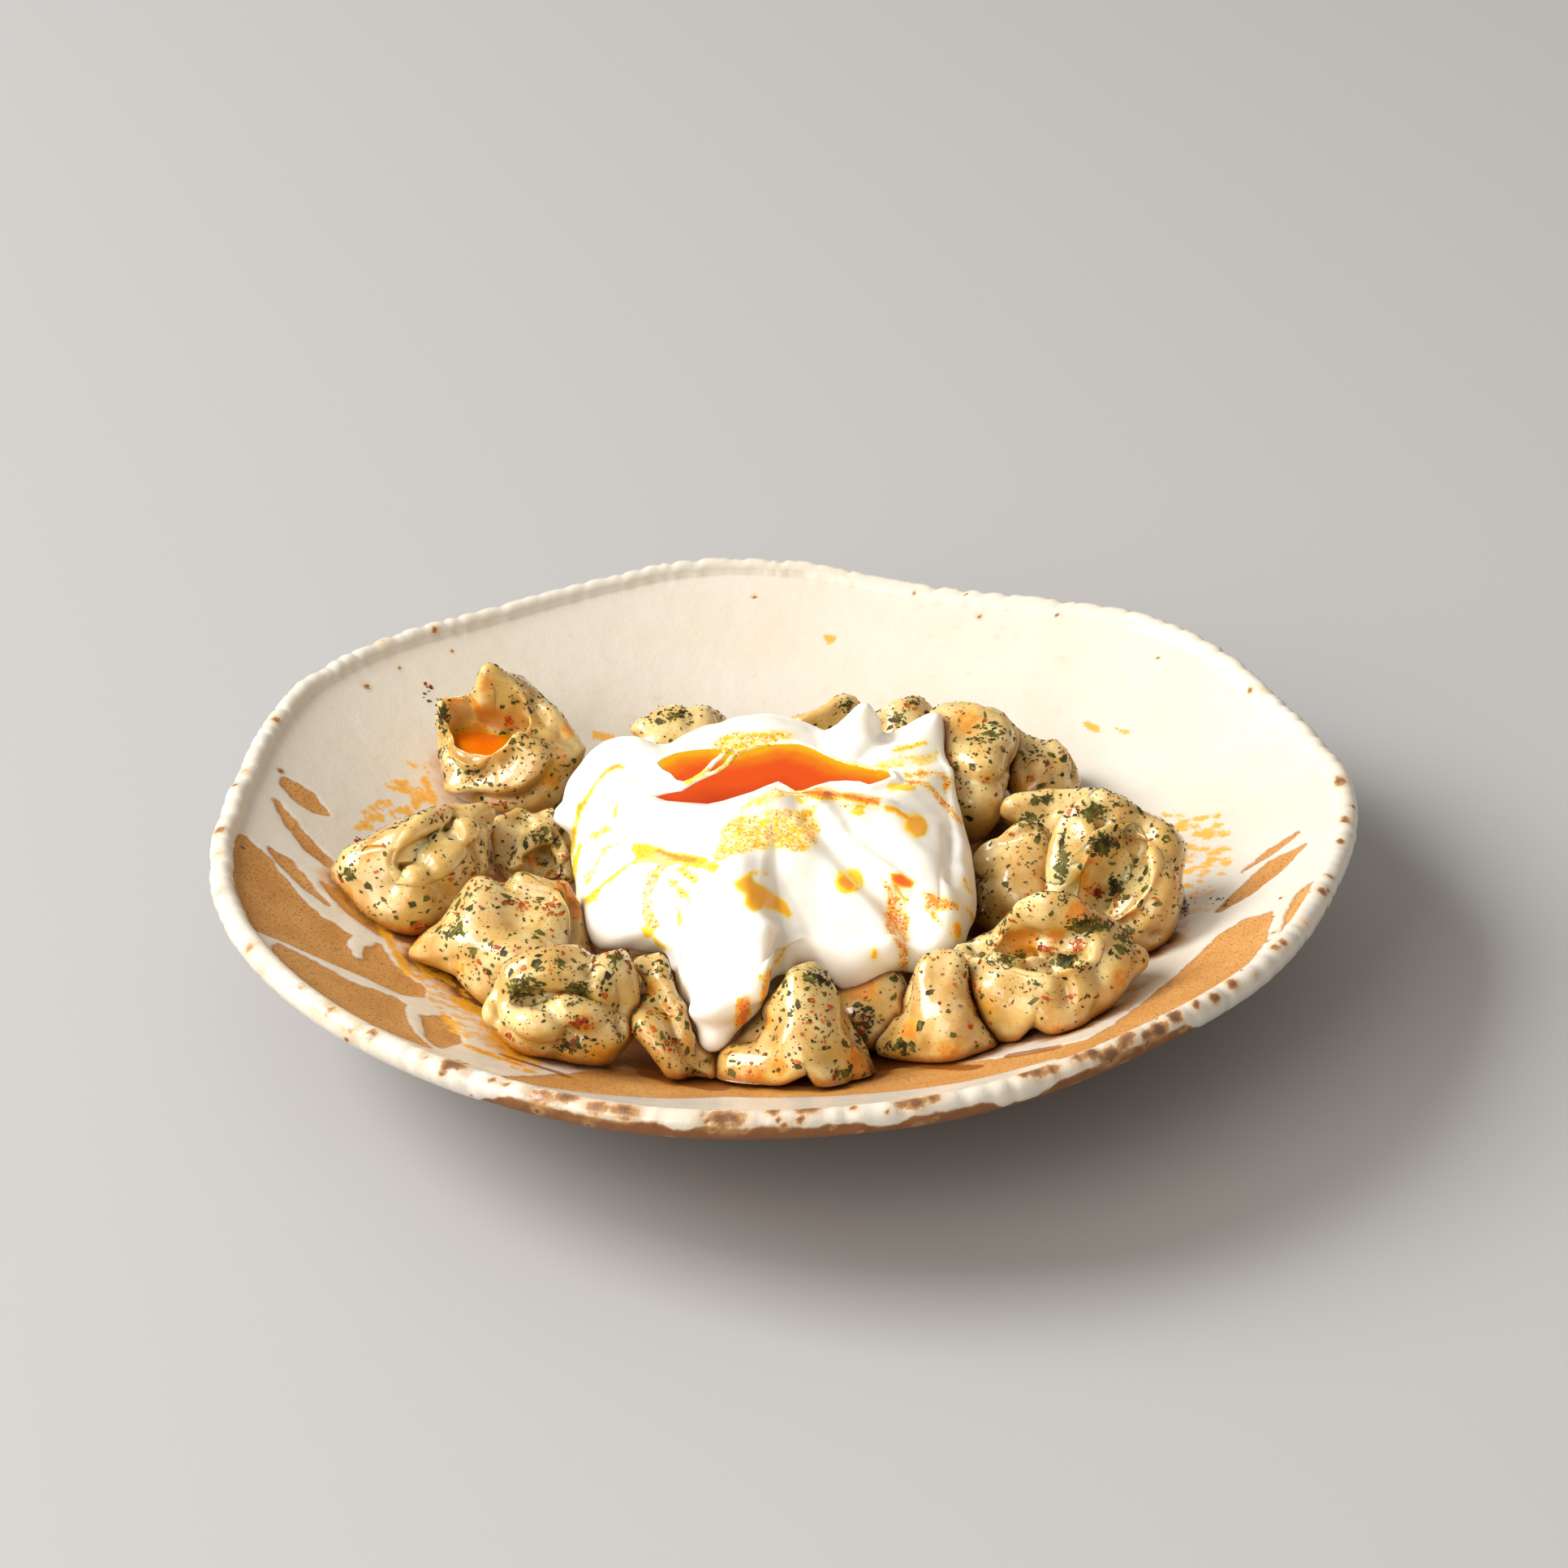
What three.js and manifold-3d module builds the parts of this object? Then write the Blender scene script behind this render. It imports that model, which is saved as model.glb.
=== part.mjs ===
// A plate of manti: small folded dumplings heaped round the middle of a hand-shaped stoneware
// plate, with a spoonful of yoghurt on them and chilli butter lying in the yoghurt's hollow.
//
// Units are millimetres and +Z is up. The origin is the middle of the plate's footprint on the
// table, and -Y is the side that the diner sees.
import * as THREE from 'three';
import { mergeVertices } from 'three/addons/utils/BufferGeometryUtils.js';
import Module from 'manifold-3d';

const wasm = await Module();
wasm.setup();

// ---- driving dimensions -------------------------------------------------------------------
const TAU = Math.PI * 2;
const DEGREE = Math.PI / 180;
const GAP = 0.35; // what stays free between pieces that touch

const PLATE = {
  radius: 127, // mean radius of the rim
  height: 42, // mean height of the rim
  floor: 10, // height of the eating surface in the middle
  floorRadius: 42, // where the wall starts to rise
  lip: 5, // width of the thick rounded rim
  wall: 5.5, // thickness of the wall, measured upright
  footRadius: 46,
  footWidth: 5,
  footHeight: 2.5,
  evenRadius: 50, // the plate is round out to here
  around: 54, // faces round the plate
};
// The rim isn't round, so the middle of its outline lies off the middle of the foot. The dish is
// placed by that middle.
const OUTLINE_MIDDLE = { x: 2.59, y: 0.73 };
// The rim is out of round: waves round the plate, as [count, radius in mm, angle of a crest].
const RIM_WAVES = [
  [1, 1.2, 84], [2, 3.1, 19], [3, 2.3, 16], [4, 0.9, 20], [5, 0.6, 30],
  [6, 1.5, -24], [7, 1.6, -6], [8, 0.9, 6], [9, 0.4, 7], [10, 0.4, 7],
];

const MANTI = {
  around: 16, // faces round a dumpling
  belly: 0.42, // height of the belly's widest part, as a share of the radius
  brim: 1.0, // height of the low brim round the hollow, as a share of the radius
  flapHalf: 78, // how far the flap reaches to each side, in degrees
  corner: 96, // where the two folded corners point, seen from the flap, in degrees
  wobble: 0.9, // unevenness of the hand-folded dough
  sag: 1.4, // how far the underside sinks as it flattens
};

// Each dumpling is a pouch of radius r round a hollow, `mouth` times as wide from the flap to the
// back and `slit` times as wide sideways, and `deep` mm deep. The dough's sealed edge, `thick` mm
// thick, makes a brim round the hollow, and rises `flap` mm higher on the side that `spin` names.
// A shut one's hollow is pressed together, so its edge is a ridge from corner to corner. `long`
// stretches it sideways and `point` draws out the two folded corners. x and y are where it lies,
// `up` lifts it, and `tilt` and `lean` say how far and which way its hollow is turned. Each pull
// moves the dough round a place, given from x, y and the table, by some mm and over some size.
// Angles are in degrees.
const OPEN = { shut: 0, slit: 0.55, deep: 9, thick: 2.4, flap: 8, long: 1.05, point: 0.1, up: 0 };
const RING = { shut: 0, slit: 0.45, deep: 6, thick: 6, flap: 1, long: 1.05, point: 0, up: 0 };
const SHUT = {
  shut: 1, mouth: 0.08, slit: 0.62, deep: 0, thick: 2.2, flap: 6, long: 1.1, point: 0.14, up: 0,
};
const DUMPLINGS = [
  // the front row, from left to right
  { ...RING, x: -47, y: -68, up: -4, r: 15.5, mouth: 0.32, deep: 4, spin: 90, tilt: 50, lean: -92,
    pulls: [[-16, -12, 16, -4, -3, 1, 6], [13, -3, 34, -1, 3, -4, 5], [2, -10, 32, 0, 0, 3, 9]] },
  { ...SHUT, x: 5, y: -71, up: -1, r: 15.5, flap: 9, spin: 272, tilt: 14, lean: 84,
    pulls: [[4, -13, 11, 1, 8, 11, 7], [-15, -9, 14, -3, -3, -4, 7], [16, -8, 14, 3, -2, -4, 6]] },
  { ...SHUT, x: 37, y: -62, up: -1, r: 13.5, flap: 8, long: 1, spin: 262, tilt: 20, lean: 84,
    pulls: [[-12, -8, 14, -5, -1, -3, 8]] },
  { ...OPEN, x: 58, y: -55, up: -3, r: 17.5, mouth: 0.45, deep: 5, flap: 8, spin: 72, tilt: 16,
    lean: -122, pulls: [
      [3, -16, 16, 0, 8, 9, 7], [-16, -6, 30, -3, -2, 2, 8], [17, 4, 26, 4, 2, 2, 9]] },
  { ...SHUT, x: -56, y: -36, up: -3, r: 19, long: 1.15, spin: 240, tilt: 28, lean: 62,
    pulls: [[-20, -2, 22, -6, 1, 0, 7], [6, 6, 36, 0, 0, 3, 8]] },
  { ...SHUT, x: -25, y: -66, up: -1, r: 14, spin: 215, tilt: 26, lean: 35, flap: 5, pulls: [] },
  { ...SHUT, x: 20, y: -51, r: 12.5, long: 1, spin: 260, tilt: 20, lean: 80, pulls: [] },
  // the right-hand side
  { ...OPEN, x: 77, y: -21, up: -2, r: 17, mouth: 0.46, deep: 7, thick: 2.6, spin: 140, tilt: 44,
    lean: -112, pulls: [[15, -6, 22, 4, 0, -1, 9], [-3, 10, 44, 0, 2, 3, 9]] },
  { ...SHUT, x: 56, y: -6, r: 14, long: 1, flap: 8, spin: 250, tilt: 18, lean: 80, pulls: [] },
  { ...SHUT, x: 66, y: 12, r: 13, spin: 258, tilt: 18, lean: 80, pulls: [] },
  // the back
  { ...SHUT, x: 47, y: 33, up: 3, r: 18, long: 1, flap: 8, point: 0.06, spin: 245, tilt: 24, lean: 80,
    pulls: [[-12, -12, 20, 2, 5, -3, 7], [-3, 4, 44, 0, 0, 2, 9]] },
  { ...SHUT, x: 62, y: 39, r: 13, long: 1, flap: 4, spin: 240, tilt: 20, lean: 60, pulls: [] },
  { ...SHUT, x: 31, y: 59, up: 2, r: 12.5, flap: 4, spin: 300, tilt: 12, lean: 100, pulls: [] },
  { ...OPEN, x: 14, y: 55, up: 2, r: 14.5, mouth: 0.35, deep: 4, flap: 6, spin: 110, tilt: 8,
    lean: 80, pulls: [] },
  { ...OPEN, x: -6, y: 57, r: 12.5, mouth: 0.35, deep: 4, flap: 3, spin: 60, tilt: 10,
    lean: 40, pulls: [] },
  { ...SHUT, x: -24, y: 54, up: 3, r: 15, spin: 260, tilt: 12, lean: 80, pulls: [] },
  // the left-hand side
  { ...OPEN, x: -65, y: 44, r: 17, mouth: 0.6, deep: 11, thick: 2.6, spin: 80, tilt: 30, lean: -138,
    pulls: [[16, -2, 26, 4, -2, -1, 9], [-14, -12, 26, -2, -2, 3, 7]] },
  { ...OPEN, x: -81, y: -7, up: -2, r: 16.5, mouth: 0.3, deep: 1.8, thick: 3, flap: 3, spin: 150, tilt: 32,
    lean: -60, pulls: [[-18, -3, 23, -5, 1, -1, 8], [12, 0, 28, 3, -1, 2, 8]] },
  { ...OPEN, x: -56, y: 6, r: 12.5, mouth: 0.42, deep: 4, flap: 4, spin: 150, tilt: 30,
    lean: -70, pulls: [] },
  // the ones that carry the yoghurt
  { ...SHUT, x: -24, y: 19, r: 15, flap: 2, spin: 20, tilt: 10, lean: 20, pulls: [] },
  { ...SHUT, x: 19, y: 16, r: 15, flap: 2, spin: 130, tilt: 10, lean: 160, pulls: [] },
  { ...SHUT, x: -4, y: -26, r: 15, flap: 2, spin: 240, tilt: 10, lean: 260, pulls: [] },
];
const HOLLOW_WITH_OIL = 16; // which of the dumplings holds a little oil

// The yoghurt: its edge goes round the middle as [angle, radius, height of its lower edge], and its
// top is a dome with hills and dents, each as [x, y, height, length, width, direction].
const YOGHURT = {
  x: -2.4, y: -5,
  crown: 50,
  edgeThick: 8,
  underside: 25,
  around: 45,
  edge: [
    [0, 48, 29], [29, 51, 33], [45, 59, 35], [62, 50, 36], [90, 45, 36], [112, 49, 36], [134, 57, 33],
    [169, 50, 29], [194, 46, 27], [216, 48, 25], [234, 48, 24], [243, 53, 23], [251, 65, 22],
    [260, 71, 21], [267, 67, 21], [275, 51, 24], [283, 48, 26], [296, 53, 24], [311, 53, 26],
    [330, 49, 28], [347, 48, 29],
  ],
  relief: [
    [0, 7, -9, 22, 14, 3], // where the chilli butter lies
    [-4, -11, 6, 30, 5, 0], [-1, -12, 4, 5, 6, 0], // the fold in front of it, with its peak
    [20, 32, 8, 5, 7, 60], [38, 33, 6, 9, 7, 20], [-16, 30, 5, 18, 7, 0], // the back
    [-42, 2, 4, 10, 8, 40], // the left shoulder
    [20, -34, -4.5, 22, 3.5, -52], [34, -26, 3, 14, 9, -50], // the crease on the right
    [-14, -44, 3, 16, 9, -100], [-5, -56, 2, 14, 3, -80], // the tongue in front
  ],
};
const BUTTER = { x: -1, y: 7, level: 46, length: 34, width: 17, deep: 7 };
const OIL = { x: -5, y: -4, level: 34, radius: 13, deep: 6 }; // x and y from its dumpling
const FLAKES = { each: 2, size: 1.8, thick: 0.9, apart: 6 };

// ---- small helpers ------------------------------------------------------------------------
const clamp01 = (v) => Math.min(1, Math.max(0, v));
const mix = (a, b, t) => a + (b - a) * t;
const smooth = (v) => clamp01(v) ** 2 * (3 - 2 * clamp01(v));
const hill = (d, width) => Math.exp(-((d / width) ** 2));
const turnBetween = (a, b) => Math.atan2(Math.sin(a - b), Math.cos(a - b));

// A gentle unevenness through space, different for each seed, from -1 to 1.
function wobble(p, size, seed) {
  let sum = 0;
  for (let k = 0; k < 4; k += 1) {
    const a = seed * 1.7 + k * 2.4;
    const direction = new THREE.Vector3(Math.cos(a), Math.sin(a * 1.3), Math.sin(a + 1)).normalize();
    sum += Math.sin((p.dot(direction) / size) * (1 + 0.35 * k) * TAU + a * 3);
  }
  return sum / 4;
}

// A closed mesh from place(u, v): u runs once round, and v runs from one pole to the other.
function closedSurface(around, along, place) {
  const geometry = new THREE.SphereGeometry(1, around, along);
  const { position, uv } = geometry.attributes;
  for (let i = 0; i < position.count; i += 1) {
    const atPole = uv.getY(i) < 1e-6 || uv.getY(i) > 1 - 1e-6;
    const p = place(atPole ? 0 : uv.getX(i) % 1, uv.getY(i));
    position.setXYZ(i, p.x, p.y, p.z);
  }
  return welded(geometry);
}

function welded(geometry) {
  const bare = geometry.clone();
  bare.deleteAttribute('normal');
  bare.deleteAttribute('uv');
  return mergeVertices(bare, 1e-4);
}

function solid(geometry) {
  const g = welded(geometry);
  return new wasm.Manifold(new wasm.Mesh({
    numProp: 3,
    vertProperties: new Float32Array(g.attributes.position.array),
    triVerts: new Uint32Array(g.index.array),
  }));
}

function geometryOf(body) {
  const { vertProperties, triVerts } = body.getMesh();
  return new THREE.BufferGeometry()
    .setAttribute('position', new THREE.BufferAttribute(new Float32Array(vertProperties), 3))
    .setIndex(new THREE.BufferAttribute(new Uint32Array(triVerts), 1));
}

// The same solid with its faces moved out by `by`: what its neighbours are cut back by.
function fattened(geometry, by) {
  const g = welded(geometry);
  g.computeVertexNormals();
  const { position, normal } = g.attributes;
  const corner = (i) => new THREE.Vector3().fromBufferAttribute(position, i);
  const outward = (i) => new THREE.Vector3().fromBufferAttribute(normal, i);
  const facing = new Array(position.count).fill(1);
  for (let f = 0; f < g.index.count; f += 3) {
    const ids = [0, 1, 2].map((k) => g.index.getX(f + k));
    const face = new THREE.Triangle(...ids.map(corner)).getNormal(new THREE.Vector3());
    ids.forEach((i) => { facing[i] = Math.min(facing[i], face.dot(outward(i))); });
  }
  const moved = facing.map((share, i) => corner(i).addScaledVector(outward(i), by / Math.max(share, 0.3)));
  moved.forEach((p, i) => position.setXYZ(i, p.x, p.y, p.z));
  return solid(g);
}

// The largest piece of a solid that a cut has left in several.
function largest(body) {
  return body.decompose().reduce((a, b) => (b.volume() > a.volume() ? b : a));
}

// ---- plate --------------------------------------------------------------------------------
const rimWave = (angle) => RIM_WAVES.reduce(
  (sum, [count, size, crest]) => sum + size * Math.cos(count * (angle - crest * DEGREE)), 0);

// How the rim's unevenness fades towards the middle: full at the rim, nothing over the foot.
function unevenness(r, angle) {
  const share = smooth((r - PLATE.evenRadius) / (PLATE.radius - PLATE.evenRadius));
  const wave = rimWave(angle) * share;
  return { out: wave * (1 - 0.4 * Math.sin(angle) ** 2), up: 0.24 * wave * Math.sin(angle) };
}

const wallRise = (r) => (PLATE.height - PLATE.floor)
  * clamp01((r - PLATE.floorRadius) / (PLATE.radius - PLATE.floorRadius)) ** 1.5;

// Height of the plate's eating surface under a point.
function plateTop(x, y) {
  const angle = Math.atan2(y, x);
  const r = Math.hypot(x, y);
  const { out, up } = unevenness(r, angle);
  return PLATE.floor + wallRise(r - out) + up;
}

function plateProfile() {
  const { radius: R, height: H, lip, wall, footRadius, footWidth, footHeight, floor } = PLATE;
  const inner = [0.35, 0.55, 0.72, 0.88, 1].map((s) => mix(PLATE.floorRadius, R - lip, s));
  const points = [
    [0, footHeight], [footRadius - footWidth, footHeight], [footRadius - footWidth + 1, 0],
    [footRadius, 0], [footRadius + 1.5, footHeight + 1.5],
  ];
  inner.slice(1).forEach((r) => points.push([r + 3, floor + wallRise(r + 3) - wall]));
  points.push([R - 0.6, H - 5.2], [R, H - 2.6], [R - 1, H - 0.5], [R - 2.8, H], [R - lip, H - 1.6]);
  inner.slice(0, -1).reverse().forEach((r) => points.push([r, floor + wallRise(r)]));
  points.push([PLATE.floorRadius, floor], [0, floor]);
  return points.map(([r, z]) => new THREE.Vector2(r, z));
}

function makePlate() {
  const geometry = new THREE.LatheGeometry(plateProfile(), PLATE.around);
  geometry.rotateX(Math.PI / 2);
  const { position } = geometry.attributes;
  for (let i = 0; i < position.count; i += 1) {
    const [x, y, z] = [position.getX(i), position.getY(i), position.getZ(i)];
    const r = Math.hypot(x, y);
    if (r < 1e-6) continue;
    const angle = Math.atan2(y, x);
    const { out, up } = unevenness(r, angle);
    position.setXYZ(i, x * (1 + out / r), y * (1 + out / r), z + up);
  }
  return welded(geometry);
}

// ---- dumplings ----------------------------------------------------------------------------
// Half the section of a dumpling that stands upright, on the side that lies `angle` from its flap:
// from the bottom of the hollow over the dough's edge and down the belly, as x, y and height.
function doughSection(d, angle) {
  const [cos, sin] = [Math.cos(angle), Math.sin(angle)];
  const front = Math.cos(clamp01(Math.abs(angle) / (MANTI.flapHalf * DEGREE)) * Math.PI / 2) ** 2;
  const corner = hill(Math.abs(angle) - MANTI.corner * DEGREE, 0.42);
  const R = d.r * (1 + d.point * corner);
  const belly = new THREE.Vector2(R * cos, R * sin * d.long);
  const mouth = new THREE.Vector2(d.r * d.mouth * cos * (1 - 0.35 * front), d.r * d.slit * sin);
  const side = new THREE.Vector2(cos, sin).multiplyScalar(d.thick);
  const foot = mouth.clone().add(side);
  const zBelly = d.r * MANTI.belly;
  const zBrim = d.r * MANTI.brim;
  const ridge = (along) => zBrim + d.flap * (1 - along ** 2) - 0.42 * d.r * along ** 4;
  const zEdge = d.shut ? ridge(sin) : zBrim - 0.16 * d.r * corner + d.flap * front;
  const hollow = d.shut
    ? [ridge(0), ridge(0.55 * sin), zEdge]
    : [zBrim - d.deep, zBrim - d.deep + 0.5 * (zEdge - zBrim), zEdge - 0.35 * d.deep];
  const face = d.shut || front > 0.5 ? 0.42 : 0.6;
  const row = (point, z) => [point.x, point.y, z];
  return [
    row(new THREE.Vector2(), hollow[0]),
    row(mouth.clone().multiplyScalar(0.55), hollow[1]),
    row(mouth, hollow[2]),
    row(mouth.clone().addScaledVector(side, 0.5), zEdge),
    row(mouth.clone().addScaledVector(side, 0.9), zEdge - 0.35 * d.thick),
    row(foot.clone().lerp(belly, face), mix(zEdge, zBelly, 0.38)),
    row(foot.clone().lerp(belly, 0.92), mix(zEdge, zBelly, 0.74)),
    row(belly, 0.72 * zBelly),
    row(belly.clone().multiplyScalar(0.88), 0.22 * zBelly),
    row(belly.clone().multiplyScalar(0.5), 0),
    row(new THREE.Vector2(), 0.1 * zBelly),
  ];
}

function turned(d) {
  const lean = d.lean * DEGREE;
  const axis = new THREE.Vector3(-Math.sin(lean), Math.cos(lean), 0);
  const tilt = new THREE.Quaternion().setFromAxisAngle(axis, d.tilt * DEGREE);
  const spin = new THREE.Quaternion().setFromAxisAngle(new THREE.Vector3(0, 0, 1), d.spin * DEGREE);
  return tilt.multiply(spin);
}

function makeDumpling(d, index) {
  const turn = turned(d);
  const steps = doughSection(d, 0).length - 1;
  const geometry = closedSurface(MANTI.around, steps, (u, v) => {
    const angle = turnBetween(u * TAU, 0);
    const p = new THREE.Vector3(...doughSection(d, angle)[steps - Math.round(v * steps)]);
    p.multiplyScalar(1 + (MANTI.wobble / d.r) * wobble(p, d.r * 1.6, index + 1));
    p.z -= d.r * MANTI.belly;
    return p.applyQuaternion(turn).add(new THREE.Vector3(d.x, d.y, d.r));
  });
  settle(geometry, d);
  return geometry;
}

// Lets a dumpling down on the plate, pulls its dough into shape and flattens its underside.
function settle(geometry, d) {
  const { position } = geometry.attributes;
  const p = new THREE.Vector3();
  const clearance = () => Math.min(...Array.from({ length: position.count }, (_, i) => (
    position.getZ(i) - plateTop(position.getX(i), position.getY(i)))));
  geometry.translate(0, 0, d.up - clearance() - MANTI.sag);
  for (let i = 0; i < position.count; i += 1) {
    p.fromBufferAttribute(position, i);
    for (const [x, y, z, dx, dy, dz, size] of d.pulls) {
      const share = hill(Math.hypot(p.x - d.x - x, p.y - d.y - y, p.z - z), size);
      p.add(new THREE.Vector3(dx, dy, dz).multiplyScalar(share));
    }
    p.z = Math.max(p.z, plateTop(p.x, p.y) + 2 * GAP);
    position.setXYZ(i, p.x, p.y, p.z);
  }
}

// ---- yoghurt and chilli butter -----------------------------------------------------------
// The edge's radius and height at an angle, eased from one named point to the next.
function yoghurtEdge(angle) {
  const { edge } = YOGHURT;
  const a = ((angle / DEGREE) % 360 + 360) % 360;
  const i = edge.findLastIndex(([from]) => from <= a);
  const [from, r0, z0] = edge[i];
  const [to, r1, z1] = edge[(i + 1) % edge.length];
  const share = smooth((a - from) / ((to - from + 360) % 360));
  return { radius: mix(r0, r1, share), low: mix(z0, z1, share) };
}

function relief(x, y) {
  return YOGHURT.relief.reduce((sum, [cx, cy, height, length, width, direction]) => {
    const [c, s] = [Math.cos(direction * DEGREE), Math.sin(direction * DEGREE)];
    const along = ((x - cx) * c + (y - cy) * s) / length;
    const across = ((y - cy) * c - (x - cx) * s) / width;
    return sum + height * Math.exp(-(along ** 2) - across ** 2);
  }, 0);
}

// From the crown over the edge and back underneath, as [share of the radius, share of the dome].
const YOGHURT_TOP = [0, 0.14, 0.28, 0.42, 0.56, 0.7, 0.82, 0.92];
const YOGHURT_BELOW = [[1, 0.45], [0.985, 0], [0.86, -0.05], [0.5, -0.1], [0, 0]];

function makeYoghurt() {
  const steps = YOGHURT_TOP.length + YOGHURT_BELOW.length - 1;
  return closedSurface(YOGHURT.around, steps, (u, v) => {
    const angle = u * TAU;
    const { radius, low } = yoghurtEdge(angle);
    const step = steps - Math.round(v * steps);
    const top = step < YOGHURT_TOP.length;
    const [share, side] = top ? [YOGHURT_TOP[step], 1] : YOGHURT_BELOW[step - YOGHURT_TOP.length];
    const x = YOGHURT.x + radius * share * Math.cos(angle);
    const y = YOGHURT.y + radius * share * Math.sin(angle);
    const upper = mix(low + YOGHURT.edgeThick, YOGHURT.crown, 1 - share ** 2.6) + relief(x, y);
    const under = mix(YOGHURT.underside, low, smooth(share));
    return new THREE.Vector3(x, y, top ? upper : under + side * YOGHURT.edgeThick);
  });
}

// A flat-topped slug of liquid, before what holds it is cut away from it.
function slug(x, y, level, length, width, deep) {
  const geometry = new THREE.CylinderGeometry(1, 1, deep, 28);
  geometry.rotateX(Math.PI / 2);
  geometry.scale(length, width, 1);
  geometry.translate(x, y, level - deep / 2);
  return solid(geometry);
}

// ---- herb and chilli flakes --------------------------------------------------------------
const random = (seed) => {
  const value = Math.sin(seed * 12.9898) * 43758.5453;
  return value - Math.floor(value);
};

// Thin leaves pressed into the upper side of a dumpling, where no neighbour comes near.
function flakesOn(geometry, neighbours, seed) {
  const g = welded(geometry);
  g.computeVertexNormals();
  const { position, normal } = g.attributes;
  const places = [];
  const flakes = [];
  for (let k = 0; k < 60 && flakes.length < FLAKES.each; k += 1) {
    const i = Math.floor(random(seed * 61 + k) * position.count);
    const at = new THREE.Vector3().fromBufferAttribute(position, i);
    const out = new THREE.Vector3().fromBufferAttribute(normal, i);
    if (out.z < 0.35 || places.some((p) => p.distanceTo(at) < FLAKES.apart)) continue;
    const leaf = new THREE.OctahedronGeometry(1);
    leaf.scale(FLAKES.size * mix(0.8, 1.5, random(seed + k)), FLAKES.size, FLAKES.thick);
    leaf.rotateZ(random(seed * 7 + k) * TAU);
    leaf.applyQuaternion(new THREE.Quaternion().setFromUnitVectors(new THREE.Vector3(0, 0, 1), out));
    leaf.translate(at.x, at.y, at.z);
    const flake = solid(leaf);
    if (neighbours.some((body) => !body.intersect(flake).isEmpty())) continue;
    flakes.push(flake);
    places.push(at);
  }
  return flakes;
}

// ---- assembly -----------------------------------------------------------------------------
const LOOKS = {
  stoneware: new THREE.MeshStandardMaterial({ name: 'stoneware', color: 0xf2ead9, roughness: 0.35 }),
  dough: new THREE.MeshStandardMaterial({ name: 'dough', color: 0xd9bf8a, roughness: 0.35 }),
  yoghurt: new THREE.MeshStandardMaterial({ name: 'yoghurt', color: 0xfbf8f0, roughness: 0.3 }),
  butter: new THREE.MeshStandardMaterial({ name: 'chilli_butter', color: 0xd9480f, roughness: 0.1 }),
};

const dish = new THREE.Group();
dish.position.set(-OUTLINE_MIDDLE.x, -OUTLINE_MIDDLE.y, 0);
function place(name, body, material) {
  const mesh = new THREE.Mesh(geometryOf(body), material);
  mesh.name = name;
  dish.add(mesh);
}

const plate = makePlate();
place('plate', solid(plate), LOOKS.stoneware);

// Each dumpling is cut back by the plate and by those placed before it, and the yoghurt by all.
const shapes = DUMPLINGS.map(makeDumpling);
const outers = shapes.map((geometry) => fattened(geometry, GAP));
const plateOuter = fattened(plate, GAP);
const yoghurtShape = makeYoghurt();
const yoghurtOuter = fattened(yoghurtShape, GAP);
const without = (body, others) => largest(others.reduce((rest, other) => rest.subtract(other), body));

shapes.forEach((shape, i) => {
  const body = without(solid(shape), [plateOuter, ...outers.slice(0, i)]);
  const neighbours = [...outers.filter((_, j) => j !== i), yoghurtOuter];
  const flakes = flakesOn(geometryOf(body), neighbours, i + 1);
  const whole = flakes.reduce((rest, flake) => rest.add(flake), body);
  place(`manti_${String(i + 1).padStart(2, '0')}`, whole, LOOKS.dough);
});
place('yoghurt', without(solid(yoghurtShape), outers), LOOKS.yoghurt);

const pool = slug(BUTTER.x, BUTTER.y, BUTTER.level, BUTTER.length, BUTTER.width, BUTTER.deep);
place('chilli_butter', without(pool, [yoghurtOuter]), LOOKS.butter);

const { x, y } = DUMPLINGS[HOLLOW_WITH_OIL];
const oil = slug(x + OIL.x, y + OIL.y, OIL.level, OIL.radius, OIL.radius, OIL.deep);
place('chilli_oil', without(oil, outers), LOOKS.butter);

export default dish;
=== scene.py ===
"""The looks of a plate of manti: the glazed plate, the dumplings, the yoghurt, the chilli butter
and the dried herbs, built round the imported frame.

Sizes are in millimetres, +Z is up and -Y is the side that the diner sees, as in the part's own
source. Meshes are turned into metres when they are made. The tables of what the camera sees hold
pixels of the 1932 x 1932 view. They are cast from the camera onto the piece that carries them.
"""
import math

import bpy
import numpy as np
from mathutils import Matrix, Vector
from mathutils.bvhtree import BVHTree


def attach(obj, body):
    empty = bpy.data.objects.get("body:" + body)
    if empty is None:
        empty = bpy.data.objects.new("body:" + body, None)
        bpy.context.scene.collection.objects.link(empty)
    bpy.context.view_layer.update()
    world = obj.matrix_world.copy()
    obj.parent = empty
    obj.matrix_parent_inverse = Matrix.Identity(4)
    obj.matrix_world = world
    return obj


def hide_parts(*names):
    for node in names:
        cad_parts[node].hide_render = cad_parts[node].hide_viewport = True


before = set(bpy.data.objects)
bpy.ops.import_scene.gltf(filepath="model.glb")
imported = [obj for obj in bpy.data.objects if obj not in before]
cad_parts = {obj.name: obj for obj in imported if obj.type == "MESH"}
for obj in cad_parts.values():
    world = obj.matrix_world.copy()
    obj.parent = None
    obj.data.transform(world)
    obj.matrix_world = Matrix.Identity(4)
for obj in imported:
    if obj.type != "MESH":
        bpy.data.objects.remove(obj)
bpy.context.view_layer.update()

MM = 0.001
TAU = 2 * math.pi
# Everything is worked out round the middle of the plate's foot. The frame's origin lies under the
# middle of its outline, which is this far away.
OUTLINE_MIDDLE = np.array([2.59, 0.73, 0])

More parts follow.
